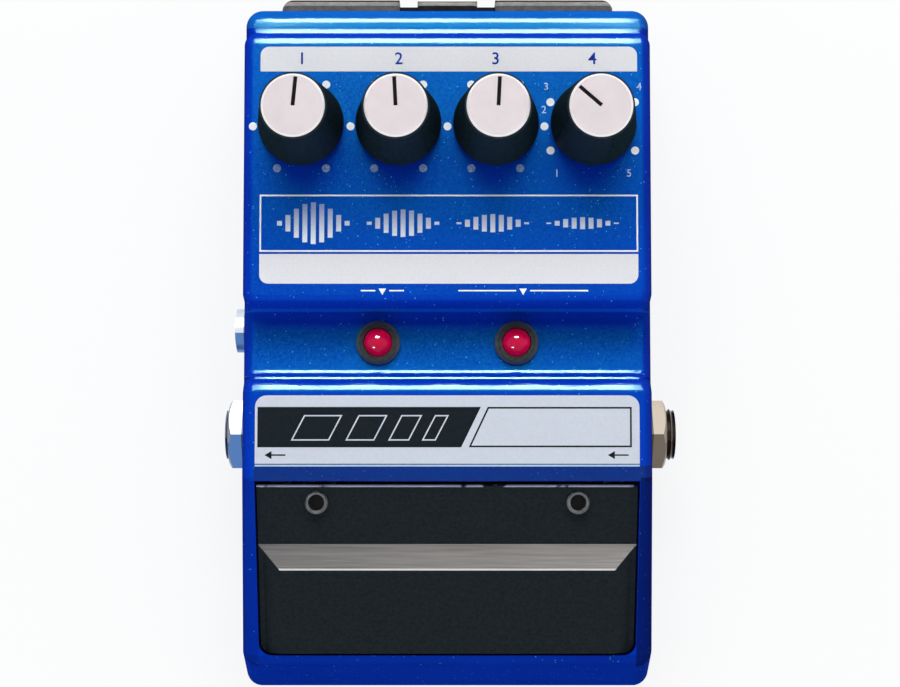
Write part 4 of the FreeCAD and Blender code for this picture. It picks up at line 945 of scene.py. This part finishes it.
dress(rubber_finish(), "rubber_sole")
print("the bumpers stand", round((sole_high.y - case_high.y) / MM, 2), "mm out behind the case")

# %% [markdown]
# ### Release plungers
# The release plungers are blackened steel tubes. Their rims are polished by use, and the bottom of
# each bore lies in the dark. The bore is a circle about each plunger's axis; the two axes mirror each
# other, so the distance to the middle of the pedal serves for both.

# %% Release plungers
PLUNGER_X = 22.66 * MM
PLUNGER_Y = -28.3 * MM
BORE_RADIUS = 1.38 * MM


def plunger_steel():
    made, tree, shader, place = start_material("plunger_steel", 0.3, 0.8)
    x, y = split_place(tree, place)[:2]
    squared = squared_distance(tree, number(tree, "ABSOLUTE", x), y, PLUNGER_X, PLUNGER_Y)
    bore = number(tree, "LESS_THAN", squared, BORE_RADIUS ** 2)
    speckle = noise(tree, place, 900)
    rim = two_colours(tree, speckle, srgb(84, 86, 88), srgb(112, 114, 116))
    tree.links.new(blend(tree, bore, rim, srgb(14, 13, 14)), shader.inputs["Base Color"])
    add_bump(tree, shader, speckle, 0.1, 0.05 * MM)
    return made


dress(plunger_steel(), "release_plunger_left", "release_plunger_right", "plunger_retainers")
print("plungers have bores of", round(2 * BORE_RADIUS / MM, 2), "mm")

# %% [markdown]
# ### Aluminium caps
# The caps are turned on a lathe, so their grain runs in fine rings about each dial's own axis. A
# Mapping node brings the middle of a wave pattern there, so each cap has a finish of its own. The
# rim carries a painted highlight, brighter than the face. The wall below it carries a dark painted
# reflection of the black knob.

# %% Turned aluminium caps
RIM_WIDTH = 0.36 * MM
WALL_DROP = 0.36 * MM
CAP_FACE = (srgb(208, 198, 201), srgb(217, 207, 210))
CAP_RIM_HIGHLIGHT = srgb(246, 242, 243)
CAP_WALL_REFLECTION = srgb(26, 34, 40)


def lathe_rings(tree, place, axis):
    """A wave pattern in rings about an upright axis."""
    shift = tree.nodes.new("ShaderNodeMapping")
    shift.inputs["Location"].default_value = (-axis.x, -axis.y, 0)
    tree.links.new(place, shift.inputs["Vector"])
    rings = tree.nodes.new("ShaderNodeTexWave")
    rings.wave_type = "RINGS"
    rings.rings_direction = "Z"
    rings.inputs["Scale"].default_value = 900
    rings.inputs["Distortion"].default_value = 0.4
    tree.links.new(shift.outputs[0], rings.inputs["Vector"])
    return rings.outputs["Fac"]


def turned_cap(dial, axis):
    """Satin aluminium for one dial's cap: painted highlight on the rim, painted reflection on the wall.
    """
    made, tree, shader, place = start_material(f"cap_{dial}", 0.4, Specular_IOR_Level=0.1)
    low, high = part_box(f"{dial}_cap")
    x, y, z = split_place(tree, place)
    squared = squared_distance(tree, x, y, axis.x, axis.y)
    rim = number(tree, "GREATER_THAN", squared, ((high.x - low.x) / 2 - RIM_WIDTH) ** 2)
    wall = number(tree, "LESS_THAN", z, high.z - WALL_DROP)
    face = two_colours(tree, noise(tree, place, 320, 4.0), *CAP_FACE, 0.2, 0.8)
    highlit_rim = blend(tree, rim, face, CAP_RIM_HIGHLIGHT)
    tree.links.new(blend(tree, wall, highlit_rim, CAP_WALL_REFLECTION), shader.inputs["Base Color"])
    shine = number(tree, "ADD", product(tree, rim, 0.4), 0.45)
    metal = product(tree, shine, number(tree, "SUBTRACT", 1.0, wall))
    tree.links.new(metal, shader.inputs["Metallic"])
    add_bump(tree, shader, lathe_rings(tree, place, axis), 0.12, 0.02 * MM)
    return made


for dial, spot in zip(DIALS, dial_places):
    dress(turned_cap(dial, spot), f"{dial}_cap")
print(len(DIALS), "turned caps")

# %% [markdown]
# ## Pieces made here
# Printing, the name plate, the lamp lenses and the pointers are thin or small pieces of their
# own. Each is modelled in a bmesh where it belongs, so that its object can stay at the origin,
# and then rides on the body that carries it.

# %% Helpers for pieces


def settle(shape, name, material, body, smooth=False):
    """Turns a bmesh into a piece that rides on a body."""
    bmesh.ops.recalc_face_normals(shape, faces=shape.faces[:])
    data = bpy.data.meshes.new(name)
    shape.to_mesh(data)
    shape.free()
    if smooth:
        data.shade_smooth()
    piece = bpy.data.objects.new(name, data)
    scene.collection.objects.link(piece)
    data.materials.append(material)
    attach(piece, body)
    print(name, len(data.polygons), "faces")
    return piece


def thicken(shape, faces, rise):
    """Raises a flat outline into a slab."""
    raised = bmesh.ops.extrude_face_region(shape, geom=faces)
    tops = [item for item in raised["geom"] if isinstance(item, bmesh.types.BMVert)]
    bmesh.ops.translate(shape, vec=(0, 0, rise), verts=tops)


def rectangle(shape, left, right, front, rear, level):
    """One flat rectangle with its sides in millimetres; gives back its corners."""
    corners = bmesh.ops.create_grid(shape, x_segments=1, y_segments=1, size=0.5)["verts"]
    bmesh.ops.scale(shape, vec=((right - left) * MM, (rear - front) * MM, 1), verts=corners)
    middle_of = ((left + right) / 2 * MM, (front + rear) / 2 * MM, level)
    bmesh.ops.translate(shape, vec=middle_of, verts=corners)
    return corners


def round_corners(shape, corners, way, radius):
    """Rounds the rear pair of a rectangle's corners for a way of 1, the front pair for -1."""
    middle = sum(corner.co.y for corner in corners) / len(corners)
    pair = [corner for corner in corners if (corner.co.y - middle) * way > 0]
    bmesh.ops.bevel(
        shape, geom=pair, offset=radius * MM, offset_type="OFFSET", segments=6, profile=0.5,
        affect="VERTICES", material=-1,
    )


INK = 0.03 * MM
SUNK = 0.01 * MM


def ink_slabs(shape):
    thicken(shape, shape.faces[:], INK + SUNK)


print("print stands", round(INK / MM, 2), "mm high")

# %% [markdown]
# ### Inks
# The white print is slightly pearly and uneven, so each ink is two near colours in a fine noise. The
# print could be a pattern in the lacquer, but as thin slabs its edges stay sharp from near by, and
# it is raised by a few hundredths of a millimetre, as screen print is.

# %% Ink finishes


def ink(name, dark, light, roughness):
    made, tree, shader, place = start_material(name, roughness, Specular_IOR_Level=0.06)
    grain = noise(tree, place, 2400, 3.0)
    tree.links.new(two_colours(tree, grain, dark, light, 0.25, 0.75), shader.inputs["Base Color"])
    add_bump(tree, shader, grain, 0.05, 0.02 * MM)
    return made


white_ink = ink("white_ink", srgb(231, 229, 232), srgb(238, 236, 239), 0.45)
bright_ink = ink("bright_ink", srgb(250, 251, 253), srgb(254, 254, 255), 0.45)
# A painted shadow: the print of the dots that lie in the knobs' shadow.
shadowed_ink = ink("shadowed_ink", srgb(78, 112, 180), srgb(172, 194, 228), 0.5)
faint_ink = ink("faint_ink", srgb(178, 196, 232), srgb(206, 218, 242), 0.5)
blue_ink = ink("blue_ink", srgb(6, 52, 150), srgb(12, 64, 168), 0.4)
dark_ink = ink("dark_ink", srgb(21, 29, 34), srgb(27, 36, 42), 0.35)
plate_grey = ink("plate_grey", srgb(209, 213, 223), srgb(216, 220, 230), 0.42)
print("seven inks")

# %% [markdown]
# ### Panel print
# Two pale bands lie across the panel, with rounded corners at the outer side of each. Between
# them is a thin frame. The lower edge of the first band and the upper edge of the second stay
# square, so the two read as one label with the dials between them.

# %% Bands and frame
BAND_LEFT = -32.2
BAND_RIGHT = 32.75
REAR_BAND = (45.95, 50.28)
FRONT_BAND = (9.2, 14.3)
TITLE_FRAME = (14.68, 24.55)
BAND_CORNER = 1.5
FRAME_LINE = 0.28
ink_level = panel_z - SUNK

bands = bmesh.new()
rear_corners = rectangle(bands, BAND_LEFT, BAND_RIGHT, *REAR_BAND, ink_level)
round_corners(bands, rear_corners, 1, BAND_CORNER)
front_corners = rectangle(bands, BAND_LEFT, BAND_RIGHT, *FRONT_BAND, ink_level)
round_corners(bands, front_corners, -1, BAND_CORNER)
ink_slabs(bands)
settle(bands, "panel_bands", white_ink, "case")


def outline_only(shape, faces, line):
    """Keeps a line's width round the inside of flat faces and removes the rest."""
    bmesh.ops.inset_region(
        shape, faces=faces, thickness=line * MM, use_boundary=True, use_even_offset=True
    )
    bmesh.ops.delete(shape, geom=faces, context="FACES_ONLY")


title = bmesh.new()
rectangle(title, BAND_LEFT, BAND_RIGHT, *TITLE_FRAME, ink_level)
outline_only(title, title.faces[:], FRAME_LINE)
ink_slabs(title)
settle(title, "title_frame", bright_ink, "case")

# %% [markdown]
# Inside the frame stands a plain drawing of what the pedal does: one burst of bars, and its
# repeats, each lower than the last. A loop draws it, because a sine gives a burst its swell and one
# factor fades the repeats. Its ink is darker at the rear and bright toward the front.

# %% Echo bars in the frame
BURST_BARS = 9
BAR_PITCH = 1.45
BAR_WIDTH = 0.85
BURST_PITCH = 15.4
FIRST_BURST = -29.2
REPEATS = 4
TALLEST = 7.2
LOWEST = 0.08
FADE = 0.66


def swell(bar):
    """The height of one bar of a burst, from 0 to 1, highest a little left of the middle."""
    risen = math.sin(math.pi * (bar + 0.7) / (BURST_BARS + 0.4)) ** 1.5
    return max(risen, LOWEST)


def fading_ink():
    made, tree, shader, place = start_material("fading_ink", 0.4, Specular_IOR_Level=0.06)
    along = split_place(tree, place)[1]
    depth = number(tree, "SUBTRACT", TITLE_FRAME[1] * MM, along)
    factor = product(tree, depth, 1 / ((TITLE_FRAME[1] - TITLE_FRAME[0]) * MM))
    grain = noise(tree, place, 2400, 3.0)
    level = number(tree, "ADD", factor, product(tree, grain, 0.2))
    faded = two_colours(tree, level, srgb(150, 162, 208), srgb(240, 243, 250), 0.3, 0.8)
    tree.links.new(faded, shader.inputs["Base Color"])
    add_bump(tree, shader, grain, 0.05, 0.02 * MM)
    return made


echo = bmesh.new()
frame_middle = sum(TITLE_FRAME) / 2
for repeat in range(REPEATS):
    for bar in range(BURST_BARS):
        half = TALLEST / 2 * FADE ** repeat * swell(bar)
        left = FIRST_BURST + repeat * BURST_PITCH + bar * BAR_PITCH
        rectangle(echo, left, left + BAR_WIDTH, frame_middle - half, frame_middle + half, ink_level)
ink_slabs(echo)
settle(echo, "echo_bars", fading_ink(), "case")

# %% [markdown]
# ### Dots and numbers
# White dots mark the dials' travel, on a circle just outside each knob. They stand at odd hours
# of a clock face; neighbours share the dot between them. The selector has four of its own. The dots
# in front of the dials are greyer, as the knobs' painted shadow.

# %% Dots round the dials
DOT_CIRCLE = 8.4
DOT_RADIUS = 0.7
DOT_SHIFT = -0.25
DIAL_HOURS = [(1, 3, 5, 7, 9, 11), (1, 3, 5, 7, 11), (1, 3, 5, 7, 11), (8, 10, 2, 4)]
SHADOWED_HOURS = (5, 7)

dots = bmesh.new()
shadowed_dots = bmesh.new()
for spot, hours in zip(dial_places, DIAL_HOURS):
    for hour in hours:
        angle = math.radians(90 - 30 * hour)
        place = Matrix.Translation((
            spot.x + DOT_CIRCLE * MM * math.cos(angle),
            spot.y + (DOT_CIRCLE * math.sin(angle) + DOT_SHIFT) * MM, ink_level
        ))
        # The dots in front of the dials carry the knobs' painted shadow.
        group = shadowed_dots if hour in SHADOWED_HOURS else dots
        bmesh.ops.create_circle(
            group, cap_ends=True, segments=24, radius=DOT_RADIUS * MM, matrix=place
        )
ink_slabs(dots)
ink_slabs(shadowed_dots)
settle(dots, "dial_dots", bright_ink, "case")
settle(shadowed_dots, "shadowed_dots", shadowed_ink, "case")

# %% [markdown]
# The dials and the selector's stops carry plain digits. A text curve gives them their outlines; it is
# made a mesh before it is put in its place, so that the finished piece sits at the origin.

# %% Plain digits
SIZE_FOR_HEIGHT = 1.4
HEAVIER = 0.012
MERGE = 0.001 * MM


def digits(name, rows, height, level, material):
    """Digits as thin raised print; rows are (text, x, y) in millimetres."""
    shape = bmesh.new()
    for text, across, along in rows:
        curve = bpy.data.curves.new(name + "_text", "FONT")
        curve.body = text
        curve.align_x = "CENTER"
        curve.align_y = "CENTER"
        curve.size = height * MM * SIZE_FOR_HEIGHT
        curve.offset = HEAVIER * height * MM
        holder = bpy.data.objects.new(name + "_text", curve)
        scene.collection.objects.link(holder)
        bpy.context.view_layer.update()
        filled = holder.evaluated_get(bpy.context.evaluated_depsgraph_get())
        flat = bpy.data.meshes.new_from_object(filled)
        flat.transform(Matrix.Translation((across * MM, along * MM, level)))
        shape.from_mesh(flat)
        bpy.data.objects.remove(holder)
        bpy.data.curves.remove(curve)
        bpy.data.meshes.remove(flat)
    bmesh.ops.remove_doubles(shape, verts=shape.verts[:], dist=MERGE)
    ink_slabs(shape)
    settle(shape, name, material, "case")


band_middle = sum(REAR_BAND) / 2
dial_numbers = [(str(n), spot.x / MM, band_middle) for n, spot in enumerate(dial_places, start=1)]
digits("dial_numbers", dial_numbers, 2.1, ink_level + INK, blue_ink)
selector_x = dial_places[3].x / MM
selector_y = dial_places[3].y / MM
SELECTOR_NUMBERS = [
    ("1", -6.2, -8.4), ("2", -8.4, 2.6), ("3", -8.0, 6.6), ("4", 8.0, 6.6), ("5", 6.2, -8.4),
]
stepped = [(text, selector_x + dx, selector_y + dy) for text, dx, dy in SELECTOR_NUMBERS]
digits("selector_numbers", stepped, 1.3, ink_level, faint_ink)

# %% [markdown]
# ### Lamp marks
# A small arrowhead between two short lines points at each lamp. A circle of three sides is a
# triangle, and a half turn points it to the front.

# %% Marks above the lamps
MARK_Y = 8.0
MARK_HALF = 0.12
MARK_GAP = 1.2
MARK_TIP = 0.75
LAMP_MARKS = [(-14.8, -11.1, -7.4), (1.9, 13.0, 24.1)]
to_the_front = Matrix.Rotation(math.radians(180), 4, "Z")

marks = bmesh.new()
for left, tip, right in LAMP_MARKS:
    place = Matrix.Translation((tip * MM, MARK_Y * MM, ink_level)) @ to_the_front
    bmesh.ops.create_circle(marks, cap_ends=True, segments=3, radius=MARK_TIP * MM, matrix=place)
    for start, end in ((left, tip - MARK_GAP), (tip + MARK_GAP, right)):
        rectangle(marks, start, end, MARK_Y - MARK_HALF, MARK_Y + MARK_HALF, ink_level)
ink_slabs(marks)
settle(marks, "lamp_marks", bright_ink, "case")

# %% [markdown]
# ### Name plate
# The step in front of the lamps carries a pale plate with rounded rear corners. It is one slab,
# because its thickness catches the light. Along its front edge run two thin lines: a grey painted
# shadow on the plate, and a pale painted highlight on the step in front of it.

# %% Name plate and its front edge
PLATE_HALF = 33.2
PLATE_Y = (-21.8, -9.8)
PLATE_THICK = 0.12 * MM
PLATE_CORNER = 2.0
SHADOW_LINE_WIDTH = 0.22
HIGHLIGHT_LINE_WIDTH = 0.26
plate_level = plateau_z + PLATE_THICK - SUNK
shadow_line_ink = ink("shadow_line_ink", srgb(92, 112, 146), srgb(112, 130, 162), 0.4)
edge_highlight_ink = ink("plate_edge_highlight", srgb(196, 222, 246), srgb(216, 236, 252), 0.3)

plate = bmesh.new()
plate_corners = rectangle(plate, -PLATE_HALF, PLATE_HALF, *PLATE_Y, plateau_z - SUNK)
round_corners(plate, plate_corners, 1, PLATE_CORNER)
thicken(plate, plate.faces[:], PLATE_THICK + SUNK)
settle(plate, "name_plate", plate_grey, "case")

# Painted shadow along the plate's front edge.
shadow_strip = bmesh.new()
rectangle(shadow_strip, -PLATE_HALF, PLATE_HALF, PLATE_Y[0], PLATE_Y[0] + SHADOW_LINE_WIDTH, plate_level)
ink_slabs(shadow_strip)
settle(shadow_strip, "plate_shadow_line", shadow_line_ink, "case")

# Painted highlight in front of the plate's front edge.
highlight_strip = bmesh.new()
rectangle(highlight_strip, -PLATE_HALF, PLATE_HALF, PLATE_Y[0] - HIGHLIGHT_LINE_WIDTH, PLATE_Y[0], plateau_z - SUNK)
ink_slabs(highlight_strip)
settle(highlight_strip, "plate_edge_highlight", edge_highlight_ink, "case")

# %% [markdown]
# On the plate are a dark block with a slanted end, and a thin empty box that a player can write in.
# Both are rectangles whose rear corners are moved sideways afterwards, so that the slanted ends need
# no outline of their own.

# %% Dark block and writing box
BLOCK_Y = (-18.76, -11.8)
BLOCK_X = (-32.75, 2.4)
BOX_X = (3.7, 31.85)
BLOCK_LEAN = 3.4
BOX_LEAN = 3.3
BOX_LINE = 0.3


def slant(corners, left_lean, right_lean):
    """Leans a rectangle's ends: its rear corners move in X by the leans, in millimetres."""
    rear = max(v.co.y for v in corners)
    middle_x = sum(v.co.x for v in corners) / len(corners)
    for corner in corners:
        if corner.co.y > rear - 0.01 * MM:
            corner.co.x += (left_lean if corner.co.x < middle_x else right_lean) * MM


block = bmesh.new()
slant(rectangle(block, *BLOCK_X, *BLOCK_Y, plate_level), 0, BLOCK_LEAN)
ink_slabs(block)
settle(block, "dark_block", dark_ink, "case")

box = bmesh.new()
slant(rectangle(box, *BOX_X, *BLOCK_Y, plate_level), BOX_LEAN, 0)
outline_only(box, box.faces[:], BOX_LINE)
ink_slabs(box)
settle(box, "writing_box", dark_ink, "case")

# %% [markdown]
# In the block stand four slanted outlines, each narrower than the one before, like an echo that
# fades. Each starts as a rectangle too; its inset keeps the line and the rest is removed.

# %% Slanted outlines in the dark block
SLAT_STARTS = [-27.0, -17.6, -10.2, -4.4]
SLAT_WIDTHS = [6.6, 5.0, 3.6, 2.4]
SLAT_Y = (-17.6, -13.2)
SLAT_LEAN = 2.3
SLAT_LINE = 0.22

slats = bmesh.new()
for start, width in zip(SLAT_STARTS, SLAT_WIDTHS):
    before = set(slats.faces)
    corners = rectangle(slats, start, start + width, *SLAT_Y, plate_level + INK)
    slant(corners, SLAT_LEAN, SLAT_LEAN)
    outline_only(slats, [face for face in slats.faces if face not in before], SLAT_LINE)
ink_slabs(slats)
settle(slats, "block_slats", plate_grey, "case")

# %% [markdown]
# Two small arrows beside the sockets show which way the signal runs: in on the right, out on the
# left. Each is a triangle with a short line behind it.

# %% Signal arrows
ARROW_X = 29.6
ARROW_Y = -20.1
ARROW_TIP = 0.8
SHAFT_HALF = 0.12
to_the_left = Matrix.Rotation(math.radians(90), 4, "Z")

arrows = bmesh.new()
for across in (-ARROW_X, ARROW_X):
    place = Matrix.Translation(((across - 1.1) * MM, ARROW_Y * MM, plate_level)) @ to_the_left
    bmesh.ops.create_circle(arrows, cap_ends=True, segments=3, radius=ARROW_TIP * MM, matrix=place)
    shaft = (across - 0.8, across + 1.7, ARROW_Y - SHAFT_HALF, ARROW_Y + SHAFT_HALF)
    rectangle(arrows, *shaft, plate_level)
ink_slabs(arrows)
settle(arrows, "signal_arrows", dark_ink, "case")

# %% [markdown]
# ### Lamp lenses
# The lamps are red plastic domes with a little light of their own. Real clear plastic would need
# many more rays and would look no different under a bright window, so the red is a plain colour with
# a smooth skin. Half a sphere, drawn down into a barrel, is the whole form; it replaces the plain
# lamp of the frame, and its barrel is as wide as the lamp's body is inside its flange.

# %% Red domed lenses
FLANGE_WIDTH = 0.45 * MM
BARREL_DEPTH = 3 * MM
LENS_GLOW = srgb(255, 8, 84)


def red_lens():
    made, tree, shader, place = start_material(
        "red_lens", 0.09, IOR=1.24, Emission_Strength=0.12, Emission_Color=LENS_GLOW
    )
    depth = noise(tree, place, 600, 2.0)
    plastic = two_colours(tree, depth, srgb(176, 2, 50), srgb(196, 5, 64))
    tree.links.new(plastic, shader.inputs["Base Color"])
    return made


def boundary(shape):
    return [edge for edge in shape.edges if edge.is_boundary]


def domed_lens(middle, radius, dome_foot, barrel_foot):
    """Half a sphere whose rim is drawn down into a closed barrel."""
    lens = bmesh.new()
    seat = Matrix.Translation((middle.x, middle.y, dome_foot))
    bmesh.ops.create_uvsphere(lens, u_segments=48, v_segments=24, radius=radius, matrix=seat)
    bmesh.ops.bisect_plane(
        lens, geom=lens.verts[:] + lens.edges[:] + lens.faces[:], plane_co=(0, 0, dome_foot),
        plane_no=(0, 0, 1), clear_inner=True,
    )
    drawn = bmesh.ops.extrude_edge_only(lens, edges=boundary(lens))["geom"]
    foot = [item for item in drawn if isinstance(item, bmesh.types.BMVert)]
    bmesh.ops.translate(lens, vec=(0, 0, barrel_foot - dome_foot), verts=foot)
    bmesh.ops.holes_fill(lens, edges=boundary(lens))
    return lens


lens_finish = red_lens()
for side, spot in zip(("left", "right"), lamp_places):
    low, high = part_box(f"lamp_{side}")
    radius = (high.x - low.x) / 2 - FLANGE_WIDTH
    lens = domed_lens(spot, radius, high.z - radius, deck_z - BARREL_DEPTH)
    piece = settle(lens, f"lamp_lens_{side}", lens_finish, "case", smooth=True)
    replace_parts(piece, f"lamp_{side}")
print("lenses of", round(2 * radius / MM, 2), "mm")

# %% [markdown]
# ### Socket nuts and threads
# The hexagon nuts of the two side sockets have their outer corners chamfered at 30 degrees, which
# draws the round arcs on their flats. A bevel would follow the hexagon's edges and not the arcs. So
# the nut starts as a circle that is pushed out to the hexagon. Its rim is extruded ring by ring over
# the chamfer and back through the bore, and the last ring is bridged to the first.

# %% Chamfered nuts
NUT_SEGMENTS = 48
NUT_FLATS = 12.2
NUT_BORE = 4.75
NUT_THICK = 3
CHAMFER_START = 0.93
CHAMFER_SLOPE = math.tan(math.radians(30))
nuts_low, nuts_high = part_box("socket_nuts")
socket_y = (nuts_low.y + nuts_high.y) / 2
socket_z = (nuts_low.z + nuts_high.z) / 2
input_low, input_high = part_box("input_socket_bushing")
output_low, output_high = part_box("output_socket_bushing")


def hexagon_radius(angle):
    """How far the hexagon's side is from the middle at an angle, with flats to front and rear."""
    from_flat = (angle + math.pi / 6) % (math.pi / 3) - math.pi / 6
    return NUT_FLATS / 2 / math.cos(from_flat)


def bore_radius(angle):
    return NUT_BORE


def move_ring(ring, radius_at, across_at):
    """Moves each vertex along its own ray from the sockets' line, and along X; in millimetres."""
    for vertex in ring:
        angle = math.atan2(vertex.co.z - socket_z, vertex.co.y - socket_y)
        radius = radius_at(angle)
        vertex.co.x = across_at(radius) * MM
        vertex.co.y = socket_y + radius * MM * math.cos(angle)
        vertex.co.z = socket_z + radius * MM * math.sin(angle)


def hexagon_nut(shape, seat, outer):
    """A nut from its seat to its outer face, both in millimetres along X."""
    round_face = CHAMFER_START * NUT_FLATS / 2
    way = 1 if outer > seat else -1
    profile = [
        (hexagon_radius, lambda radius: outer - way * CHAMFER_SLOPE * (radius - round_face)),
        (lambda angle: round_face, lambda radius: outer),
        (bore_radius, lambda radius: outer),
        (bore_radius, lambda radius: seat),
    ]
    line_up = Matrix.Translation((0, socket_y, socket_z)) @ Matrix.Rotation(math.radians(90), 4, "Y")
    first = bmesh.ops.create_circle(
        shape, cap_ends=False, segments=NUT_SEGMENTS, radius=NUT_BORE * MM, matrix=line_up
    )["verts"]
    move_ring(first, hexagon_radius, lambda radius: seat)
    start = [edge for edge in shape.edges if edge.is_wire]
    rim = start
    for radius_at, across_at in profile:
        drawn = bmesh.ops.extrude_edge_only(shape, edges=rim)["geom"]
        move_ring([item for item in drawn if isinstance(item, bmesh.types.BMVert)], radius_at, across_at)
        rim = [item for item in drawn if isinstance(item, bmesh.types.BMEdge) and item.is_boundary]
    bmesh.ops.bridge_loops(shape, edges=start + rim)


nuts = bmesh.new()
seat = nuts_high.x / MM - NUT_THICK
hexagon_nut(nuts, seat, nuts_high.x / MM)
hexagon_nut(nuts, -seat, nuts_low.x / MM)
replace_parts(settle(nuts, "chamfered_nuts", nickel, "case"), "socket_nuts")

# %% [markdown]
# The bushings carry a thread outside the wall. At this size rings in place of a helix look the same,
# so half a section with three crests is drawn as a chain of edges and spun once round.

# %% Threaded bushings
THREAD_PITCH = 0.79
THREAD_DEPTH = 0.4
THREAD_TURNS = 3
SOCKET_BORE = 3.2
BORE_MOUTH = 3.5
MOUTH_DEPTH = 0.3


def threaded_bushing(name, inner, outer):
    """A bushing along X whose outer end is threaded, spun from its outline about the socket."""
    low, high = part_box(name)
    radius = (high.z - low.z) / 2 / MM
    way = 1 if outer > inner else -1
    outline = [(inner, SOCKET_BORE), (inner, radius)]
    for turn in range(THREAD_TURNS, 0, -1):
        crest = outer - way * THREAD_PITCH * turn
        outline += [(crest, radius), (crest + way * THREAD_PITCH / 2, radius - THREAD_DEPTH)]
    outline += [(outer, radius - THREAD_DEPTH / 2), (outer, BORE_MOUTH)]
    outline += [(outer - way * MOUTH_DEPTH, SOCKET_BORE)]
    shape = bmesh.new()
    corners = []
    for across, out in outline:
        corners.append(shape.verts.new((across * MM, socket_y, socket_z + out * MM)))
    sides = [shape.edges.new(pair) for pair in zip(corners, corners[1:] + corners[:1])]
    bmesh.ops.spin(
        shape, geom=corners + sides, cent=(0, socket_y, socket_z), axis=(1, 0, 0), angle=2 * math.pi,
        steps=NUT_SEGMENTS, use_merge=True,
    )
    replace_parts(settle(shape, name.replace("bushing", "thread"), nickel, "case"), name)


threaded_bushing("input_socket_bushing", input_low.x / MM, input_high.x / MM)
threaded_bushing("output_socket_bushing", output_high.x / MM, output_low.x / MM)

# %% [markdown]
# ### Pointers
# Each cap has an engraved line filled with black paint. The filling is a small bar that lies in
# the groove, turned as the groove is, and rides on its dial.

# %% Black pointer fillings
TURNS = [-5.5, 3.0, -3.0, 49.0]
LINE_HALF = 0.31
LINE_LENGTH = 4.65
LINE_BEGIN = -0.05
PAINT_THICK = 0.24 * MM
PAINT_FLOOR = 0.29 * MM
pointer_black = plain_finish(
    "pointer_black", srgb(8, 8, 9), srgb(20, 20, 22), 0.6, 1500, Specular_IOR_Level=0.1
)

for name, spot, turn in zip(DIALS, dial_places, TURNS):
    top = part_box(f"{name}_cap")[1].z
    bar = bmesh.new()
    rectangle(bar, -LINE_HALF, LINE_HALF, LINE_BEGIN, LINE_LENGTH, 0)
    thicken(bar, bar.faces[:], PAINT_THICK)
    in_groove = Matrix.Translation((spot.x, spot.y, top - PAINT_FLOOR))
    turned = in_groove @ Matrix.Rotation(math.radians(turn), 4, "Z")
    bmesh.ops.transform(bar, matrix=turned, verts=bar.verts[:])
    settle(bar, f"{name}_pointer", pointer_black, name)

# %% [markdown]
# ## Which pieces see which pane
# The lacquer and the black plastic inside reflect the bright pane. Bare metal, rubber, the knobs,
# the treadle and the inks reflect the dim one, and the red lenses have two lamps of their own. Each
# pane lights the pieces of one collection, which Blender calls light linking.

# %% Share out the panes
SHINY = {lacquer, black_plastic}
for piece in scene.objects:
    if piece.type == "MESH" and piece != floor:
        finishes = {slot.material for slot in piece.material_slots}
        seen_by = dim_side
        if finishes & SHINY:
            seen_by = bright_side
        elif lens_finish in finishes:
            seen_by = lens_side
        seen_by.objects.link(piece)

# %% Print the dressed size
low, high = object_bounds()
print("dressed box in mm:", [round(v / MM, 1) for v in high - low])
